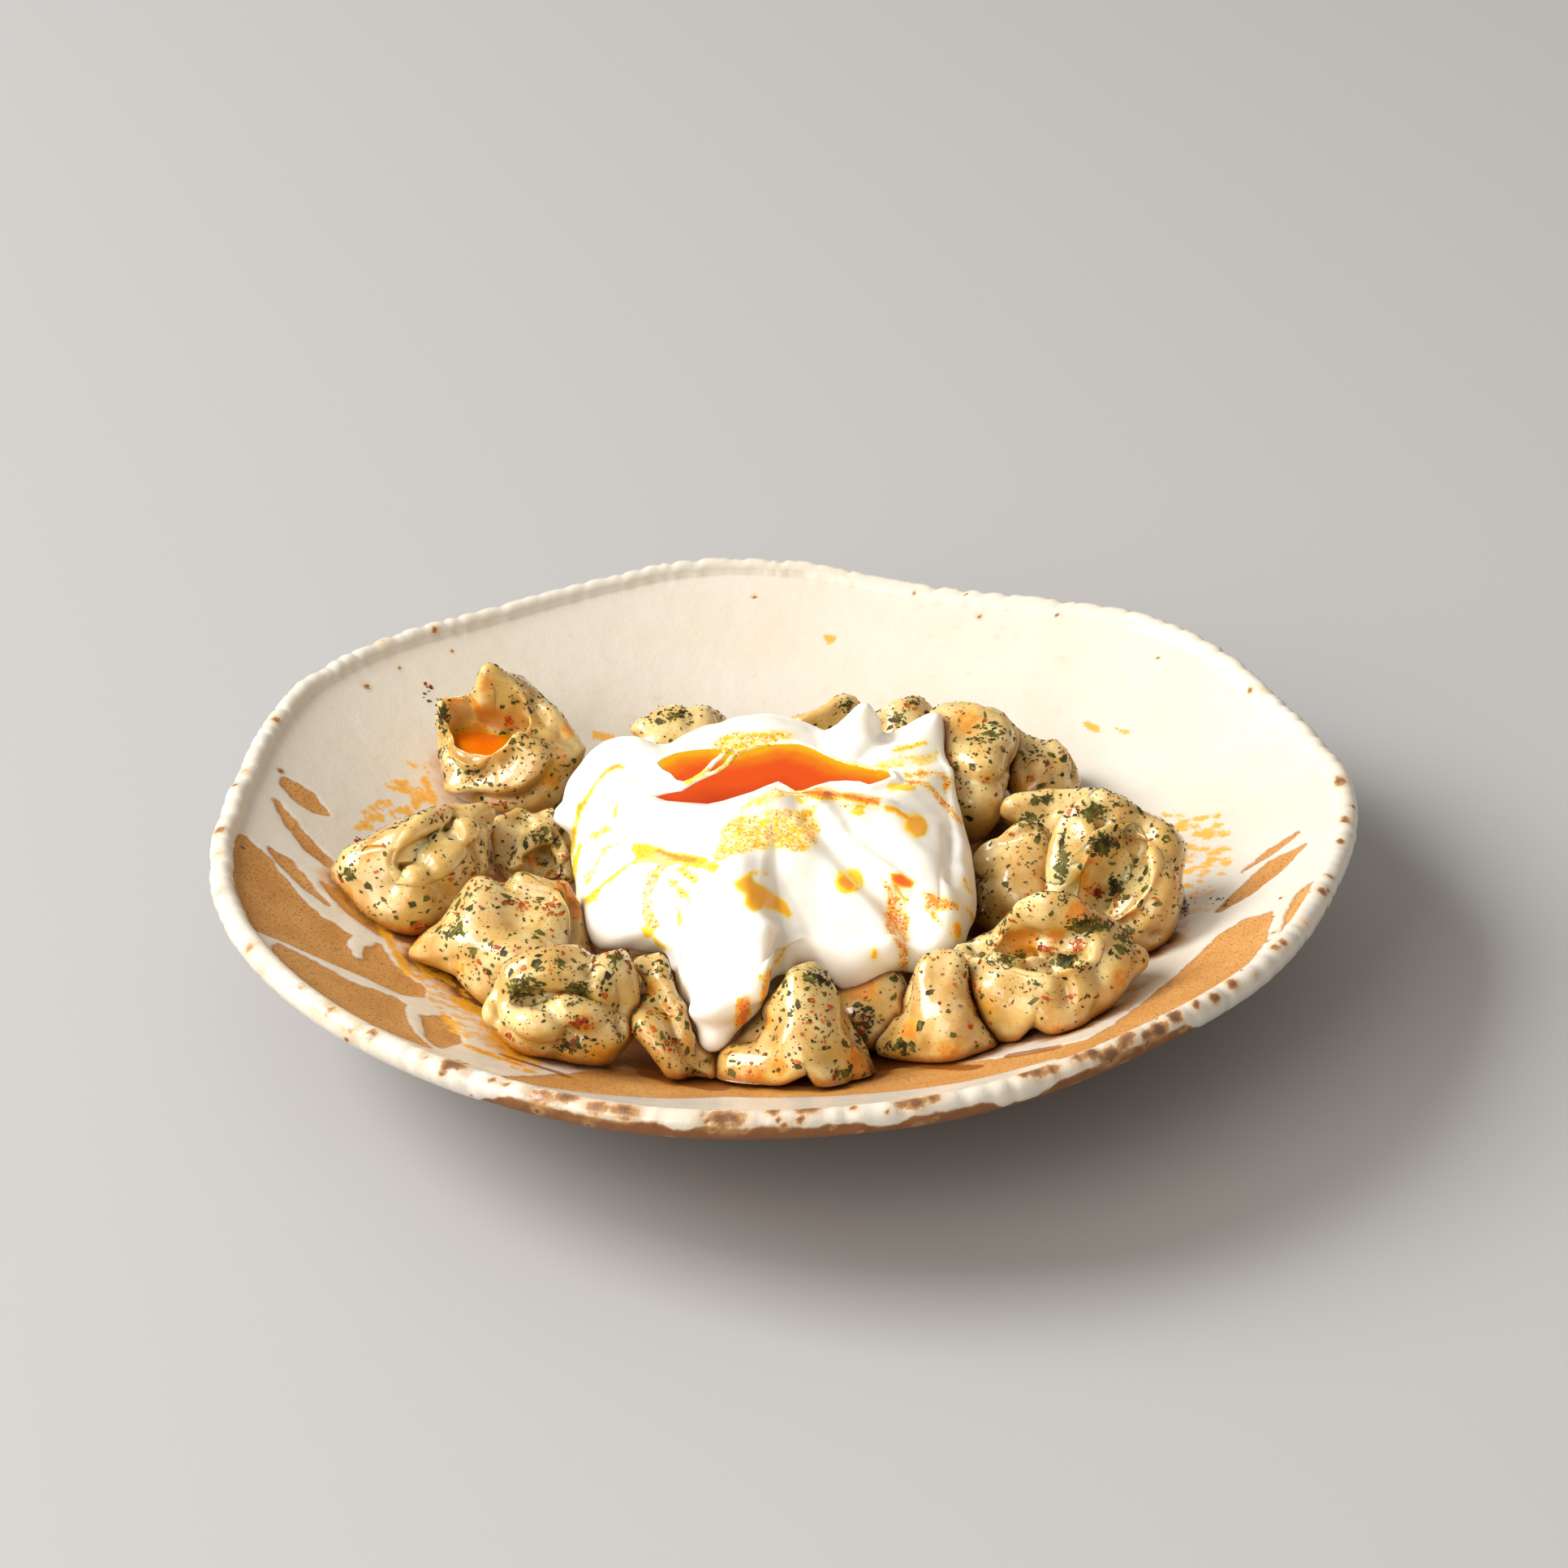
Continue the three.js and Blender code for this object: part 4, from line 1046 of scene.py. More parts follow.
def laid(d, index, grid):
    """The dumpling's points turned and put over its place."""
    lean = math.radians(d["lean"])
    turn = rotation((-math.sin(lean), math.cos(lean), 0), d["tilt"]) @ rotation((0, 0, 1), d["spin"])
    grid = grid * (1 + WOBBLE / d["r"] * wobble(grid, d["r"] * 1.6, index + 1))[..., None]
    grid = grid - np.array([0, 0, d["r"] * BELLY])
    return grid @ turn.T + np.array([d["x"], d["y"], d["r"]])


def pleats(d, index, grid, angle):
    """Soft folds that run from the pressed edge down the belly."""
    rng = np.random.default_rng(100 + index)
    rows = np.linspace(0, 1, len(grid))[:, None]
    strength = hill(rows - PLEATS_AT, PLEATS_HALF) * d["r"] * PLEATS_DEEP
    total = np.zeros_like(rows * angle)
    for count in (3, 5, 8):
        phase = rng.uniform(0, TAU)
        total += np.sin(count * angle + phase + 2.2 * rows) * rng.uniform(0.5, 1.0) * 3 / count
    return grid * (1 + strength * total / d["r"])[..., None]


OUTLINE_DIRECTIONS = 180


def drawn_to(points, outline):
    """Points moved across the camera's view until their silhouette follows an outline of pixels.

    Points at the silhouette move in full, and the nearer to the middle, the less they move.
    """
    seen, depth = pixels_of(points)
    outline = np.array(outline, float)
    centre = outline_centre(outline)
    away = seen - centre
    reach = np.linalg.norm(away, axis=1)
    turn = np.arctan2(away[:, 1], away[:, 0])
    directions = np.linspace(-math.pi, math.pi, OUTLINE_DIRECTIONS, endpoint=False)
    place = (turn + math.pi) / TAU * OUTLINE_DIRECTIONS
    own = np.zeros(OUTLINE_DIRECTIONS)
    for shift in (-1, 0, 1):
        slot = (np.round(place).astype(int) + shift) % OUTLINE_DIRECTIONS
        np.maximum.at(own, slot, reach)
    own = softened(own)
    wanted = softened(np.array([reach_to(outline, centre, direction) for direction in directions]))
    ratio = circular(wanted / own, place)
    share = np.clip(reach / circular(own, place), 0, 1)
    move = away * (share * (ratio - 1))[:, None] * (depth / PIXELS_FOCAL)[:, None]
    return points + move[:, :1] * EYE_RIGHT - move[:, 1:] * EYE_UP


def outline_centre(outline):
    """The middle of the outline's area."""
    x, y = outline.T
    after_x, after_y = np.roll(x, -1), np.roll(y, -1)
    cross = x * after_y - after_x * y
    return np.array([((x + after_x) * cross).sum(), ((y + after_y) * cross).sum()]) / (3 * cross.sum())


def reach_to(outline, centre, direction):
    """How far the outline is from its middle in a direction."""
    ray = np.array([math.cos(direction), math.sin(direction)])
    farthest = 1.0
    for a, b in zip(outline, np.roll(outline, -1, axis=0)):
        edge = b - a
        bottom = ray[0] * edge[1] - ray[1] * edge[0]
        if abs(bottom) < 1e-9:
            continue
        gap = a - centre
        along = (gap[0] * edge[1] - gap[1] * edge[0]) / bottom
        share = (gap[0] * ray[1] - gap[1] * ray[0]) / bottom
        if along > 0 and 0 <= share <= 1:
            farthest = max(farthest, along)
    return farthest


def softened(ring):
    """A ring of values, each eased towards its neighbours."""
    return (np.roll(ring, 1) + 2 * ring + np.roll(ring, -1)) / 4


def circular(ring, place):
    """A ring of values, read between its entries."""
    low = np.floor(place).astype(int)
    share = place - low
    return mix(ring[low % len(ring)], ring[(low + 1) % len(ring)], share)


def dumpling_shape(index, d):
    """Points and faces of one dumpling, before its folds are worked in."""
    carrier = index >= len(DUMPLINGS) - CARRIERS
    around = COARSE_AROUND * 3 if carrier else DOUGH_AROUND
    steps = 3 if carrier else DOUGH_STEPS
    coarse_angle = np.linspace(-math.pi, math.pi, COARSE_AROUND, endpoint=False)
    coarse = laid(d, index, dough_section(d, coarse_angle))
    clearance = np.min(coarse[..., 2] - plate_top(coarse[..., 0], coarse[..., 1]))
    angle = np.linspace(-math.pi, math.pi, around, endpoint=False)
    rows = smooth_rows(dough_section(d, angle), steps)
    grid = laid(d, index, pleats(d, index, rows, angle[None, :]))
    grid[..., 2] += d["up"] - clearance - SAG
    for x, y, z, dx, dy, dz, size in d["pulls"]:
        gap = np.linalg.norm(grid - np.array([d["x"] + x, d["y"] + y, z]), axis=-1)
        grid = grid + hill(gap, size)[..., None] * np.array([dx, dy, dz])
    points = grid_points(grid)
    faces = grid_faces(*grid.shape[:2], from_top=True)
    if index + 1 in OUTLINES:
        points = drawn_to(points, OUTLINES[index + 1])
    row = np.repeat(np.arange(1, len(grid) - 1), around)
    share = np.concatenate([[0], row, [len(grid) - 1]]) / (len(grid) - 1)
    return points, faces, share


# The outline of each dumpling in the view, where it shows. The keys are the nodes' numbers.
OUTLINES = {
    1: [(620, 1200), (628, 1187), (640, 1177), (660, 1169), (680, 1167), (700, 1165), (710, 1164),
        (718, 1170), (725, 1179), (733, 1187), (745, 1186), (753, 1178), (764, 1166), (772, 1172),
        (779, 1190), (784, 1210), (787, 1240), (783, 1260), (778, 1275), (770, 1290), (760, 1302),
        (748, 1319), (735, 1323), (715, 1321), (700, 1317), (685, 1313), (660, 1310), (642, 1302),
        (630, 1288), (621, 1272), (607, 1263), (597, 1250), (600, 1238), (608, 1222), (613, 1208)],
    2: [(900, 1285), (912, 1270), (925, 1255), (938, 1240), (950, 1225), (962, 1211), (971, 1200),
        (976, 1193), (990, 1190), (1003, 1190), (1014, 1195), (1024, 1206), (1032, 1220), (1040, 1238),
        (1052, 1262), (1063, 1280), (1071, 1297), (1078, 1315), (1082, 1330), (1070, 1340),
        (1055, 1342), (1040, 1347), (1020, 1348), (1011, 1345), (1006, 1335), (1004, 1322),
        (1000, 1317), (994, 1318), (984, 1324), (972, 1334), (960, 1342), (945, 1350), (925, 1352),
        (905, 1352), (892, 1348), (884, 1335), (881, 1325), (886, 1305), (892, 1293)],
    3: [(1140, 1178), (1160, 1172), (1181, 1176), (1190, 1200), (1197, 1225), (1207, 1250),
        (1218, 1270), (1232, 1285), (1234, 1296), (1206, 1303), (1185, 1310), (1160, 1314),
        (1140, 1315), (1118, 1310), (1095, 1306), (1080, 1300), (1078, 1285), (1090, 1268),
        (1105, 1248), (1117, 1222), (1126, 1200)],
    4: [(1181, 1168), (1190, 1161), (1202, 1154), (1220, 1149), (1230, 1140), (1243, 1128),
        (1255, 1116), (1265, 1110), (1280, 1106), (1300, 1105), (1315, 1107), (1330, 1113),
        (1345, 1121), (1360, 1127), (1375, 1135), (1390, 1147), (1400, 1158), (1410, 1168),
        (1413, 1178), (1410, 1190), (1403, 1196), (1397, 1204), (1388, 1217), (1375, 1232),
        (1363, 1245), (1350, 1258), (1342, 1267), (1330, 1275), (1318, 1278), (1300, 1276),
        (1288, 1270), (1278, 1267), (1268, 1269), (1260, 1278), (1256, 1289), (1250, 1297),
        (1243, 1299), (1235, 1295), (1225, 1284), (1213, 1268), (1205, 1250), (1198, 1225),
        (1192, 1200), (1184, 1186)],
    5: [(499, 1170), (504, 1163), (520, 1147), (540, 1128), (560, 1106), (578, 1088), (592, 1080),
        (605, 1082), (622, 1086), (640, 1078), (660, 1082), (680, 1085), (700, 1088), (714, 1110),
        (728, 1145), (742, 1185), (735, 1215), (700, 1235), (650, 1245), (610, 1245), (598, 1242),
        (585, 1231), (570, 1214), (560, 1201), (548, 1199), (530, 1192), (512, 1185), (503, 1181)],
    6: [(779, 1178), (795, 1175), (812, 1172), (820, 1178), (824, 1190), (828, 1207), (832, 1222),
        (840, 1235), (848, 1252), (856, 1270), (866, 1285), (880, 1294), (890, 1300), (890, 1315),
        (888, 1330), (882, 1338), (868, 1336), (856, 1331), (846, 1330), (836, 1333), (826, 1327),
        (818, 1313), (806, 1300), (795, 1286), (787, 1272), (785, 1255), (784, 1240), (783, 1225),
        (780, 1205)],
    8: [(1347, 981), (1360, 978), (1378, 978), (1390, 985), (1400, 994), (1415, 1000), (1430, 1007),
        (1442, 1017), (1452, 1028), (1460, 1040), (1463, 1050), (1459, 1062), (1455, 1075),
        (1454, 1088), (1458, 1100), (1455, 1120), (1450, 1140), (1444, 1155), (1436, 1167),
        (1425, 1176), (1412, 1182), (1395, 1192), (1370, 1195), (1345, 1185), (1315, 1165),
        (1298, 1135), (1292, 1105), (1290, 1080), (1291, 1060), (1295, 1037), (1301, 1022),
        (1309, 1010), (1317, 1000), (1328, 990), (1338, 984)],
    9: [(1198, 1052), (1213, 1041), (1230, 1029), (1247, 1018), (1265, 1011), (1280, 1011),
        (1292, 1020), (1300, 1035), (1306, 1060), (1308, 1090), (1302, 1112), (1275, 1130),
        (1245, 1142), (1218, 1148), (1203, 1135), (1197, 1100), (1195, 1075)],
    10: [(1232, 1000), (1240, 986), (1252, 979), (1280, 976), (1305, 973), (1330, 972), (1353, 974),
        (1356, 990), (1345, 1010), (1330, 1035), (1310, 1055), (1280, 1062), (1250, 1052), (1232, 1030)],
    11: [(1146, 872), (1165, 866), (1185, 865), (1205, 868), (1225, 873), (1238, 878), (1247, 888),
        (1254, 898), (1256, 912), (1250, 930), (1242, 950), (1240, 965), (1238, 980), (1235, 998),
        (1229, 1014), (1215, 1032), (1195, 1042), (1178, 1030), (1165, 990), (1152, 940), (1144, 900)],
    12: [(1240, 890), (1258, 898), (1270, 905), (1285, 912), (1302, 913), (1312, 921), (1320, 933),
        (1327, 948), (1329, 962), (1326, 975), (1310, 988), (1280, 995), (1250, 990), (1238, 970),
        (1234, 940), (1234, 910)],
    14: [(960, 888), (985, 882), (1005, 877), (1020, 870), (1030, 861), (1042, 856), (1055, 858),
        (1064, 868), (1068, 890), (1055, 930), (1010, 950), (965, 930)],
    16: [(770, 902), (785, 888), (800, 882), (815, 873), (832, 867), (845, 871), (856, 868),
        (872, 871), (886, 876), (897, 884), (906, 896), (900, 930), (860, 955), (810, 948), (778, 925)],
    17: [(598, 821), (607, 823), (620, 829), (645, 835), (660, 848), (680, 868), (697, 890),
        (710, 905), (723, 922), (718, 940), (708, 957), (700, 975), (690, 995), (668, 1008),
        (640, 1005), (605, 1000), (570, 988), (553, 976), (545, 955), (540, 930), (537, 905),
        (535, 885), (540, 862), (560, 857), (583, 852), (594, 842)],
    18: [(405, 1068), (420, 1056), (440, 1041), (465, 1024), (490, 1011), (515, 1000), (540, 994),
        (560, 990), (585, 989), (600, 993), (606, 1010), (603, 1045), (603, 1070), (592, 1092),
        (572, 1115), (548, 1138), (525, 1154), (504, 1163), (485, 1157), (465, 1147), (441, 1130),
        (420, 1106), (406, 1085)],
    19: [(603, 1012), (614, 1003), (625, 1005), (640, 1004), (654, 1009), (666, 1000), (680, 994),
        (696, 1004), (710, 1030), (712, 1060), (704, 1088), (680, 1094), (650, 1088), (625, 1085),
        (608, 1078), (598, 1050), (598, 1027)],
}

# Folds, rolls and hollows worked into the dough, by node number: line, height in mm (below 0 a
# hollow) and width in mm.
FOLDS = {
    1: [([(622, 1262), (616, 1235), (622, 1208), (640, 1190), (670, 1180), (705, 1176),
        (722, 1187)], 1.6, 4.0), ([(742, 1196), (762, 1188), (775, 1205), (777, 1230),
        (770, 1262)], 1.4, 4.0), ([(734, 1184), (730, 1204)], -2.2, 2.4), ([(700, 1236),
        (740, 1240)], 2.2, 6.0), ([(640, 1230), (665, 1226), (700, 1222), (726, 1230)], -1.3, 2.6),
        ([(655, 1262)], 2.0, 5.0), ([(692, 1244)], 1.4, 3.5), ([(735, 1285)], 1.2, 6.0), ([(664, 1246),
        (680, 1250), (692, 1262), (708, 1272)], -1.6, 1.4), ([(700, 1272), (690, 1300)], -1.0, 1.8),
        ([(756, 1272)], 1.0, 3.0), ([(756, 1270)], -2.4, 1.1), ([(622, 1272), (617, 1255), (611, 1235),
        (617, 1212)], -1.5, 1.3), ([(605, 1250)], 1.0, 3.0)],
    2: [([(1030, 1216), (1040, 1243), (1052, 1267), (1064, 1290)], -1.5, 1.5), ([(1000, 1200),
        (990, 1240), (984, 1275)], 1.2, 5.0), ([(936, 1285), (944, 1310), (950, 1335)], -1.6, 5.0),
        ([(900, 1300), (895, 1330)], 1.2, 4.5), ([(1014, 1328), (1018, 1342)], 1.4, 3.2), ([(966, 1336),
        (984, 1321), (1002, 1311)], 1.3, 2.6), ([(1050, 1300), (1060, 1330)], 1.0, 4.0), ([(1008, 1312),
        (1030, 1306), (1056, 1312)], -1.4, 2.6), ([(1022, 1262)], 0.8, 6.0), ([(930, 1256), (950, 1262),
        (962, 1258)], -0.8, 2.0)],
    3: [([(1165, 1235)], 1.4, 9.0), ([(1178, 1288)], 1.2, 5.0), ([(1128, 1292),
        (1118, 1265)], -1.0, 4.0), ([(1140, 1190), (1160, 1184), (1178, 1186)], 1.0, 3.0),
        ([(1150, 1205), (1140, 1240)], -0.6, 4.0)],
    4: [([(1290, 1128)], 1.6, 9.0), ([(1240, 1160)], 0.8, 5.0), ([(1340, 1150)], 1.2, 6.0),
        ([(1186, 1173), (1200, 1181), (1225, 1189), (1250, 1194), (1270, 1192),
        (1279, 1185)], 2.2, 1.6), ([(1198, 1170), (1222, 1178), (1248, 1183), (1268, 1179)], -3.2, 2.0),
        ([(1276, 1171), (1300, 1167), (1342, 1162)], 1.2, 3.0), ([(1275, 1180), (1290, 1183),
        (1301, 1195), (1312, 1215), (1316, 1232)], -1.8, 1.7), ([(1358, 1203)], 1.3, 7.0),
        ([(1246, 1160), (1280, 1154), (1310, 1154), (1345, 1147), (1378, 1138)], -2.2, 2.2),
        ([(1238, 1232)], 1.0, 8.0), ([(1405, 1180)], 1.6, 3.0), ([(1393, 1160),
        (1398, 1190)], -1.4, 1.5), ([(1335, 1185), (1352, 1210), (1350, 1240)], -0.8, 1.8),
        ([(1290, 1260), (1330, 1262)], 1.0, 3.5)],
    5: [([(598, 1086), (612, 1110), (626, 1140), (636, 1168)], 0.8, 7.0), ([(612, 1088),
        (640, 1099), (675, 1104), (706, 1114)], -1.5, 1.4), ([(640, 1084), (690, 1092)], 1.0, 2.5),
        ([(645, 1135), (685, 1150)], -1.5, 6.0), ([(560, 1150)], 1.2, 7.0), ([(640, 1165),
        (690, 1172)], 1.0, 4.0), ([(506, 1183), (530, 1191), (556, 1199)], -0.8, 1.6), ([(565, 1195),
        (590, 1222)], 1.0, 3.5), ([(520, 1168), (560, 1182)], -0.7, 3.0)],
    6: [([(781, 1205), (790, 1216), (805, 1222), (812, 1232), (814, 1242)], -1.8, 1.4),
        ([(824, 1246), (832, 1272), (842, 1295), (852, 1312), (862, 1328)], -2.0, 1.6), ([(812, 1190),
        (822, 1215), (832, 1240)], 1.4, 2.6), ([(800, 1262), (812, 1295), (828, 1318)], 1.2, 5.0),
        ([(787, 1236), (790, 1262)], 1.0, 3.0), ([(795, 1190)], -1.0, 3.5), ([(845, 1268),
        (862, 1300)], 1.0, 2.6)],
    8: [([(1400, 1112)], 1.8, 9.0), ([(1428, 1062)], 1.5, 8.0), ([(1370, 1040)], 1.6, 5.0),
        ([(1350, 989), (1330, 1002), (1314, 1020), (1306, 1045), (1303, 1075), (1304, 1106)], 2.6, 3.2),
        ([(1358, 1006), (1350, 1020), (1335, 1034), (1327, 1048), (1324, 1070),
        (1325, 1096)], -3.4, 2.6), ([(1400, 1030), (1414, 1060), (1417, 1095), (1400, 1125),
        (1380, 1135)], -2.2, 3.0), ([(1385, 1050), (1396, 1075), (1398, 1100), (1385, 1120)], 2.2, 3.0),
        ([(1358, 1003), (1372, 1006), (1386, 1014), (1394, 1024)], -2.0, 1.8), ([(1362, 991),
        (1384, 996), (1408, 1010), (1430, 1025)], 1.4, 2.8), ([(1372, 1084)], 1.2, 3.5), ([(1412, 1073),
        (1440, 1078)], 0.9, 4.0), ([(1421, 1151)], -1.8, 1.3), ([(1446, 1070),
        (1450, 1092)], -1.2, 2.2), ([(1405, 1128), (1425, 1130)], 0.8, 5.0)],
    9: [([(1203, 1052), (1230, 1041), (1252, 1034), (1272, 1020)], -1.3, 1.4), ([(1212, 1047),
        (1262, 1018)], 1.2, 2.0), ([(1250, 1080)], 1.4, 8.0), ([(1288, 1026), (1302, 1050)], -0.8, 2.0),
        ([(1225, 1060)], -0.7, 3.0)],
    10: [([(1245, 990), (1290, 983), (1345, 980)], 1.2, 2.4), ([(1250, 1010),
        (1290, 1004)], -0.8, 2.4)],
    11: [([(1176, 952), (1200, 966), (1224, 966), (1240, 960)], -2.0, 2.2),
        ([(1212, 930)], 1.6, 7.0), ([(1195, 893), (1225, 900)], -0.8, 4.0), ([(1205, 993)], 2.0, 7.0),
        ([(1168, 878), (1205, 880)], 0.9, 4.0), ([(1232, 905), (1244, 930)], 0.8, 3.0)],
    12: [([(1262, 905), (1260, 930), (1266, 955)], -1.2, 2.2), ([(1300, 918), (1312, 935),
        (1320, 957)], 0.9, 3.0), ([(1285, 940)], 0.8, 4.0), ([(1296, 925), (1300, 955)], -0.7, 2.0)],
    14: [([(985, 884), (1015, 876), (1040, 864)], 0.8, 2.5)],
    16: [([(790, 893), (830, 878), (870, 880)], 0.9, 3.0), ([(848, 872), (852, 895)], -0.8, 2.0)],
    17: [([(580, 905), (574, 930), (580, 948)], -3.4, 4.0), ([(558, 968), (580, 968), (612, 970),
        (640, 965), (657, 952), (664, 936)], 2.4, 2.5), ([(592, 983), (620, 986), (646, 981),
        (664, 966)], -1.8, 1.8), ([(622, 862)], 2.2, 5.0), ([(682, 882)], 1.4, 5.0), ([(653, 838),
        (656, 860), (661, 876), (673, 891), (692, 898)], -2.0, 1.8), ([(628, 905), (652, 903),
        (680, 909), (708, 917)], -1.5, 1.6), ([(600, 848), (589, 870), (591, 895),
        (606, 908)], 1.6, 2.0), ([(626, 915), (631, 930), (622, 942)], -1.4, 1.5),
        ([(604, 830)], 1.5, 3.0), ([(660, 925)], 1.0, 4.0), ([(547, 868), (546, 900),
        (550, 940)], 1.0, 2.0), ([(640, 915)], 1.0, 3.0)],
    18: [([(532, 1055)], 2.6, 8.0), ([(552, 1080)], 1.0, 5.0), ([(510, 1085)], 1.0, 6.0),
        ([(560, 1030)], 1.4, 5.0), ([(499, 1074), (489, 1063), (493, 1053), (502, 1043), (514, 1034),
        (528, 1027)], -1.9, 1.4), ([(545, 1024), (556, 1034), (570, 1040), (581, 1050),
        (591, 1064)], -1.6, 1.3), ([(497, 1070), (512, 1069), (524, 1074), (538, 1088),
        (549, 1103)], -1.2, 1.4), ([(430, 1053), (460, 1045), (500, 1027), (540, 1009),
        (560, 1002)], 1.6, 3.0), ([(556, 1012), (557, 1023), (566, 1031)], -1.3, 1.3),
        ([(572, 1022)], 1.2, 3.0), ([(580, 1000), (602, 1000)], 1.6, 2.4), ([(560, 1010), (585, 1012),
        (602, 1012)], -1.2, 1.3), ([(500, 1115)], 1.4, 8.0), ([(428, 1075)], 0.8, 4.0)],
    19: [([(617, 1060), (614, 1036), (621, 1014), (638, 1006), (655, 1011), (671, 1026)], 2.0, 1.8),
        ([(632, 1034), (642, 1022)], -2.6, 4.0), ([(668, 1056), (682, 1076)], -2.0, 3.0), ([(634, 1064),
        (641, 1050), (655, 1040), (668, 1034), (681, 1042), (691, 1057), (700, 1080)], 2.0, 1.8),
        ([(650, 1080), (650, 1062)], -1.4, 1.5), ([(628, 1072)], 1.0, 3.0), ([(660, 1062)], 1.0, 2.5)],
}
# Oil stains on the dough: place, radius in mm and strength.
STAINS = [
    ((460, 1040), 5, 1.5), ((440, 1060), 4, 0.8), ((505, 1152), 5, 1.4), ((700, 1095), 4, 2.4),
    ((500, 1110), 6, 0.5), ((708, 1120), 3, 2.4), ((515, 1160), 3, 1.0), ((1335, 1128), 5, 1.8),
    ((1356, 1132), 3, 1.6), ((1262, 1160), 5, 2.0), ((1300, 1152), 3, 1.6), ((1190, 890), 7, 0.9),
    ((1230, 1022), 4, 1.2), ((1340, 1095), 3, 1.2), ((600, 846), 4, 0.8), ((560, 860), 4, 0.8),
    ((590, 910), 5, 2.4), ((572, 925), 5, 2.6), ((690, 935), 4, 0.8), ((900, 1300), 3, 1.2),
    ((945, 1255), 4, 1.2), ((960, 1315), 3, 1.4), ((930, 1325), 4, 1.2), ((1056, 1308), 4, 1.8),
    ((1060, 1220), 5, 1.6), ((1215, 1240), 5, 0.5), ((1255, 1285), 3, 1.4), ((840, 1290), 5, 0.9),
    ((800, 1222), 3, 1.6), ((820, 1250), 4, 1.2), ((740, 1300), 6, 0.8), ((1380, 1205), 4, 1.0),
    ((1300, 1270), 3, 1.0), ((610, 990), 4, 1.0), ((905, 1320), 5, 0.9), ((1260, 970), 4, 0.8),
    ((1300, 940), 4, 0.7), ((830, 880), 4, 0.6), ((655, 1060), 4, 0.9), ((570, 1195), 4, 0.7),
    ((540, 1195), 4, 0.9), ((1170, 1295), 5, 0.8), ((1120, 1270), 4, 1.2), ((1400, 1130), 5, 0.6),
    ((985, 1190), 4, 0.7), ((585, 870), 3, 1.6), ((700, 900), 3, 1.2), ((680, 960), 5, 0.9),
    ((430, 1100), 4, 0.8), ((470, 1148), 3, 1.4), ((720, 1260), 4, 1.0), ((700, 1305), 5, 0.9),
    ((1040, 1180), 4, 1.0), ((1350, 1060), 4, 0.7), ((1335, 1080), 4, 1.0),
]
SMALL_LUMPS = 0.3
FINE_LUMPS = 0.13
UNSTAINED = -1.0
CONTACT_WIDTH = 1.3  # how far the seeping oil and its painted shade reach where a dumpling touches another, and the plate
CONTACT_PLATE_WIDTH = 2.6
CONTACT_SOUGHT = 4.0  # how far off a neighbour is looked for
CONTACT_NONE = 9.0  # stands for a place with none so near


def folded(points, faces, number):
    """A dumpling's surface with its folds and small lumps worked in."""
    tree = tree_of(points, faces)
    relief = with_folds(np.zeros(len(points)), points, tree, FOLDS.get(number, []))
    relief = relief + SMALL_LUMPS * noise(points, 6, number) + FINE_LUMPS * noise(points, 2.8, number + 40)
    points = points + normals_of(points, faces) * relief[:, None]
    points[:, 2] = np.maximum(points[:, 2], plate_top(points[:, 0], points[:, 1]) + 2 * GAP)
    return points


def shape_dumplings():
    """The points and faces of every dumpling, and how far down its section each point is."""
    shapes = []
    for index, d in enumerate(DUMPLINGS):
        points, faces, share = dumpling_shape(index, d)
        shapes.append((folded(points, faces, index + 1), faces, share))
    return shapes


def make_dumplings(shapes, yoghurt_tree):
    """Makes a piece of every dumpling."""
    material = dough_look()
    trees = [tree_of(points, faces) for points, faces, _ in shapes]
    stained = [nearest_seen(trees, at) for at, _, _ in STAINS]
    for i, (points, faces, share) in enumerate(shapes):
        stain = np.full(len(points), UNSTAINED)
        for (_, radius, strength), hit in zip(STAINS, stained):
            if hit is not None and hit[0] == i:
                gap = np.linalg.norm(points - hit[1], axis=1)
                stain = np.maximum(stain, UNSTAINED + (1 + strength) * hill(gap, radius))
        neighbours = [
            tree for j, tree in enumerate(trees) if j != i and close(DUMPLINGS[i], DUMPLINGS[j])
        ]
        # seeping oil and painted shade where the dough touches the plate or a neighbour
        contact_seep_and_shade = contact(points, plate_top(points[:, 0], points[:, 1]), [*neighbours, yoghurt_tree])
        # painted shade with soaked oil: more where the dough faces down and lies low
        under = 0.6 - 0.85 * normals_of(points, faces)[:, 2] - 0.015 * (points[:, 2] - 20)
        attributes = {"stain": stain, "contact_seep_and_shade": contact_seep_and_shade, "belly": hill(share - 0.6, 0.2), "under": under}
        name = f"manti_{i + 1:02d}"
        piece = make_mesh(name + "_dough", points, faces, material, attributes)
        dress(piece, "dough", name)


def nearest_seen(trees, pixel):
    """Which of the surfaces the camera sees at a pixel, and where."""
    best = None
    for index, tree in enumerate(trees):
        hit = seen_on(tree, pixel)
        if hit is None:
            continue
        reach = np.linalg.norm(hit - EYE)
        if best is None or reach < best[2]:
            best = (index, hit, reach)
    return best


def close(a, b):
    """Whether two dumplings may touch."""
    return math.hypot(a["x"] - b["x"], a["y"] - b["y"]) < a["r"] + b["r"] + 10


def contact(points, floor, neighbours):
    """How near each point is to the plate or to a neighbour: 1 where they touch."""
    share = hill(np.maximum(points[:, 2] - floor, 0), CONTACT_PLATE_WIDTH)
    for tree in neighbours:
        gaps = gaps_to(tree, points, CONTACT_SOUGHT, CONTACT_NONE)
        share = np.maximum(share, hill(gaps, CONTACT_WIDTH))
    return share


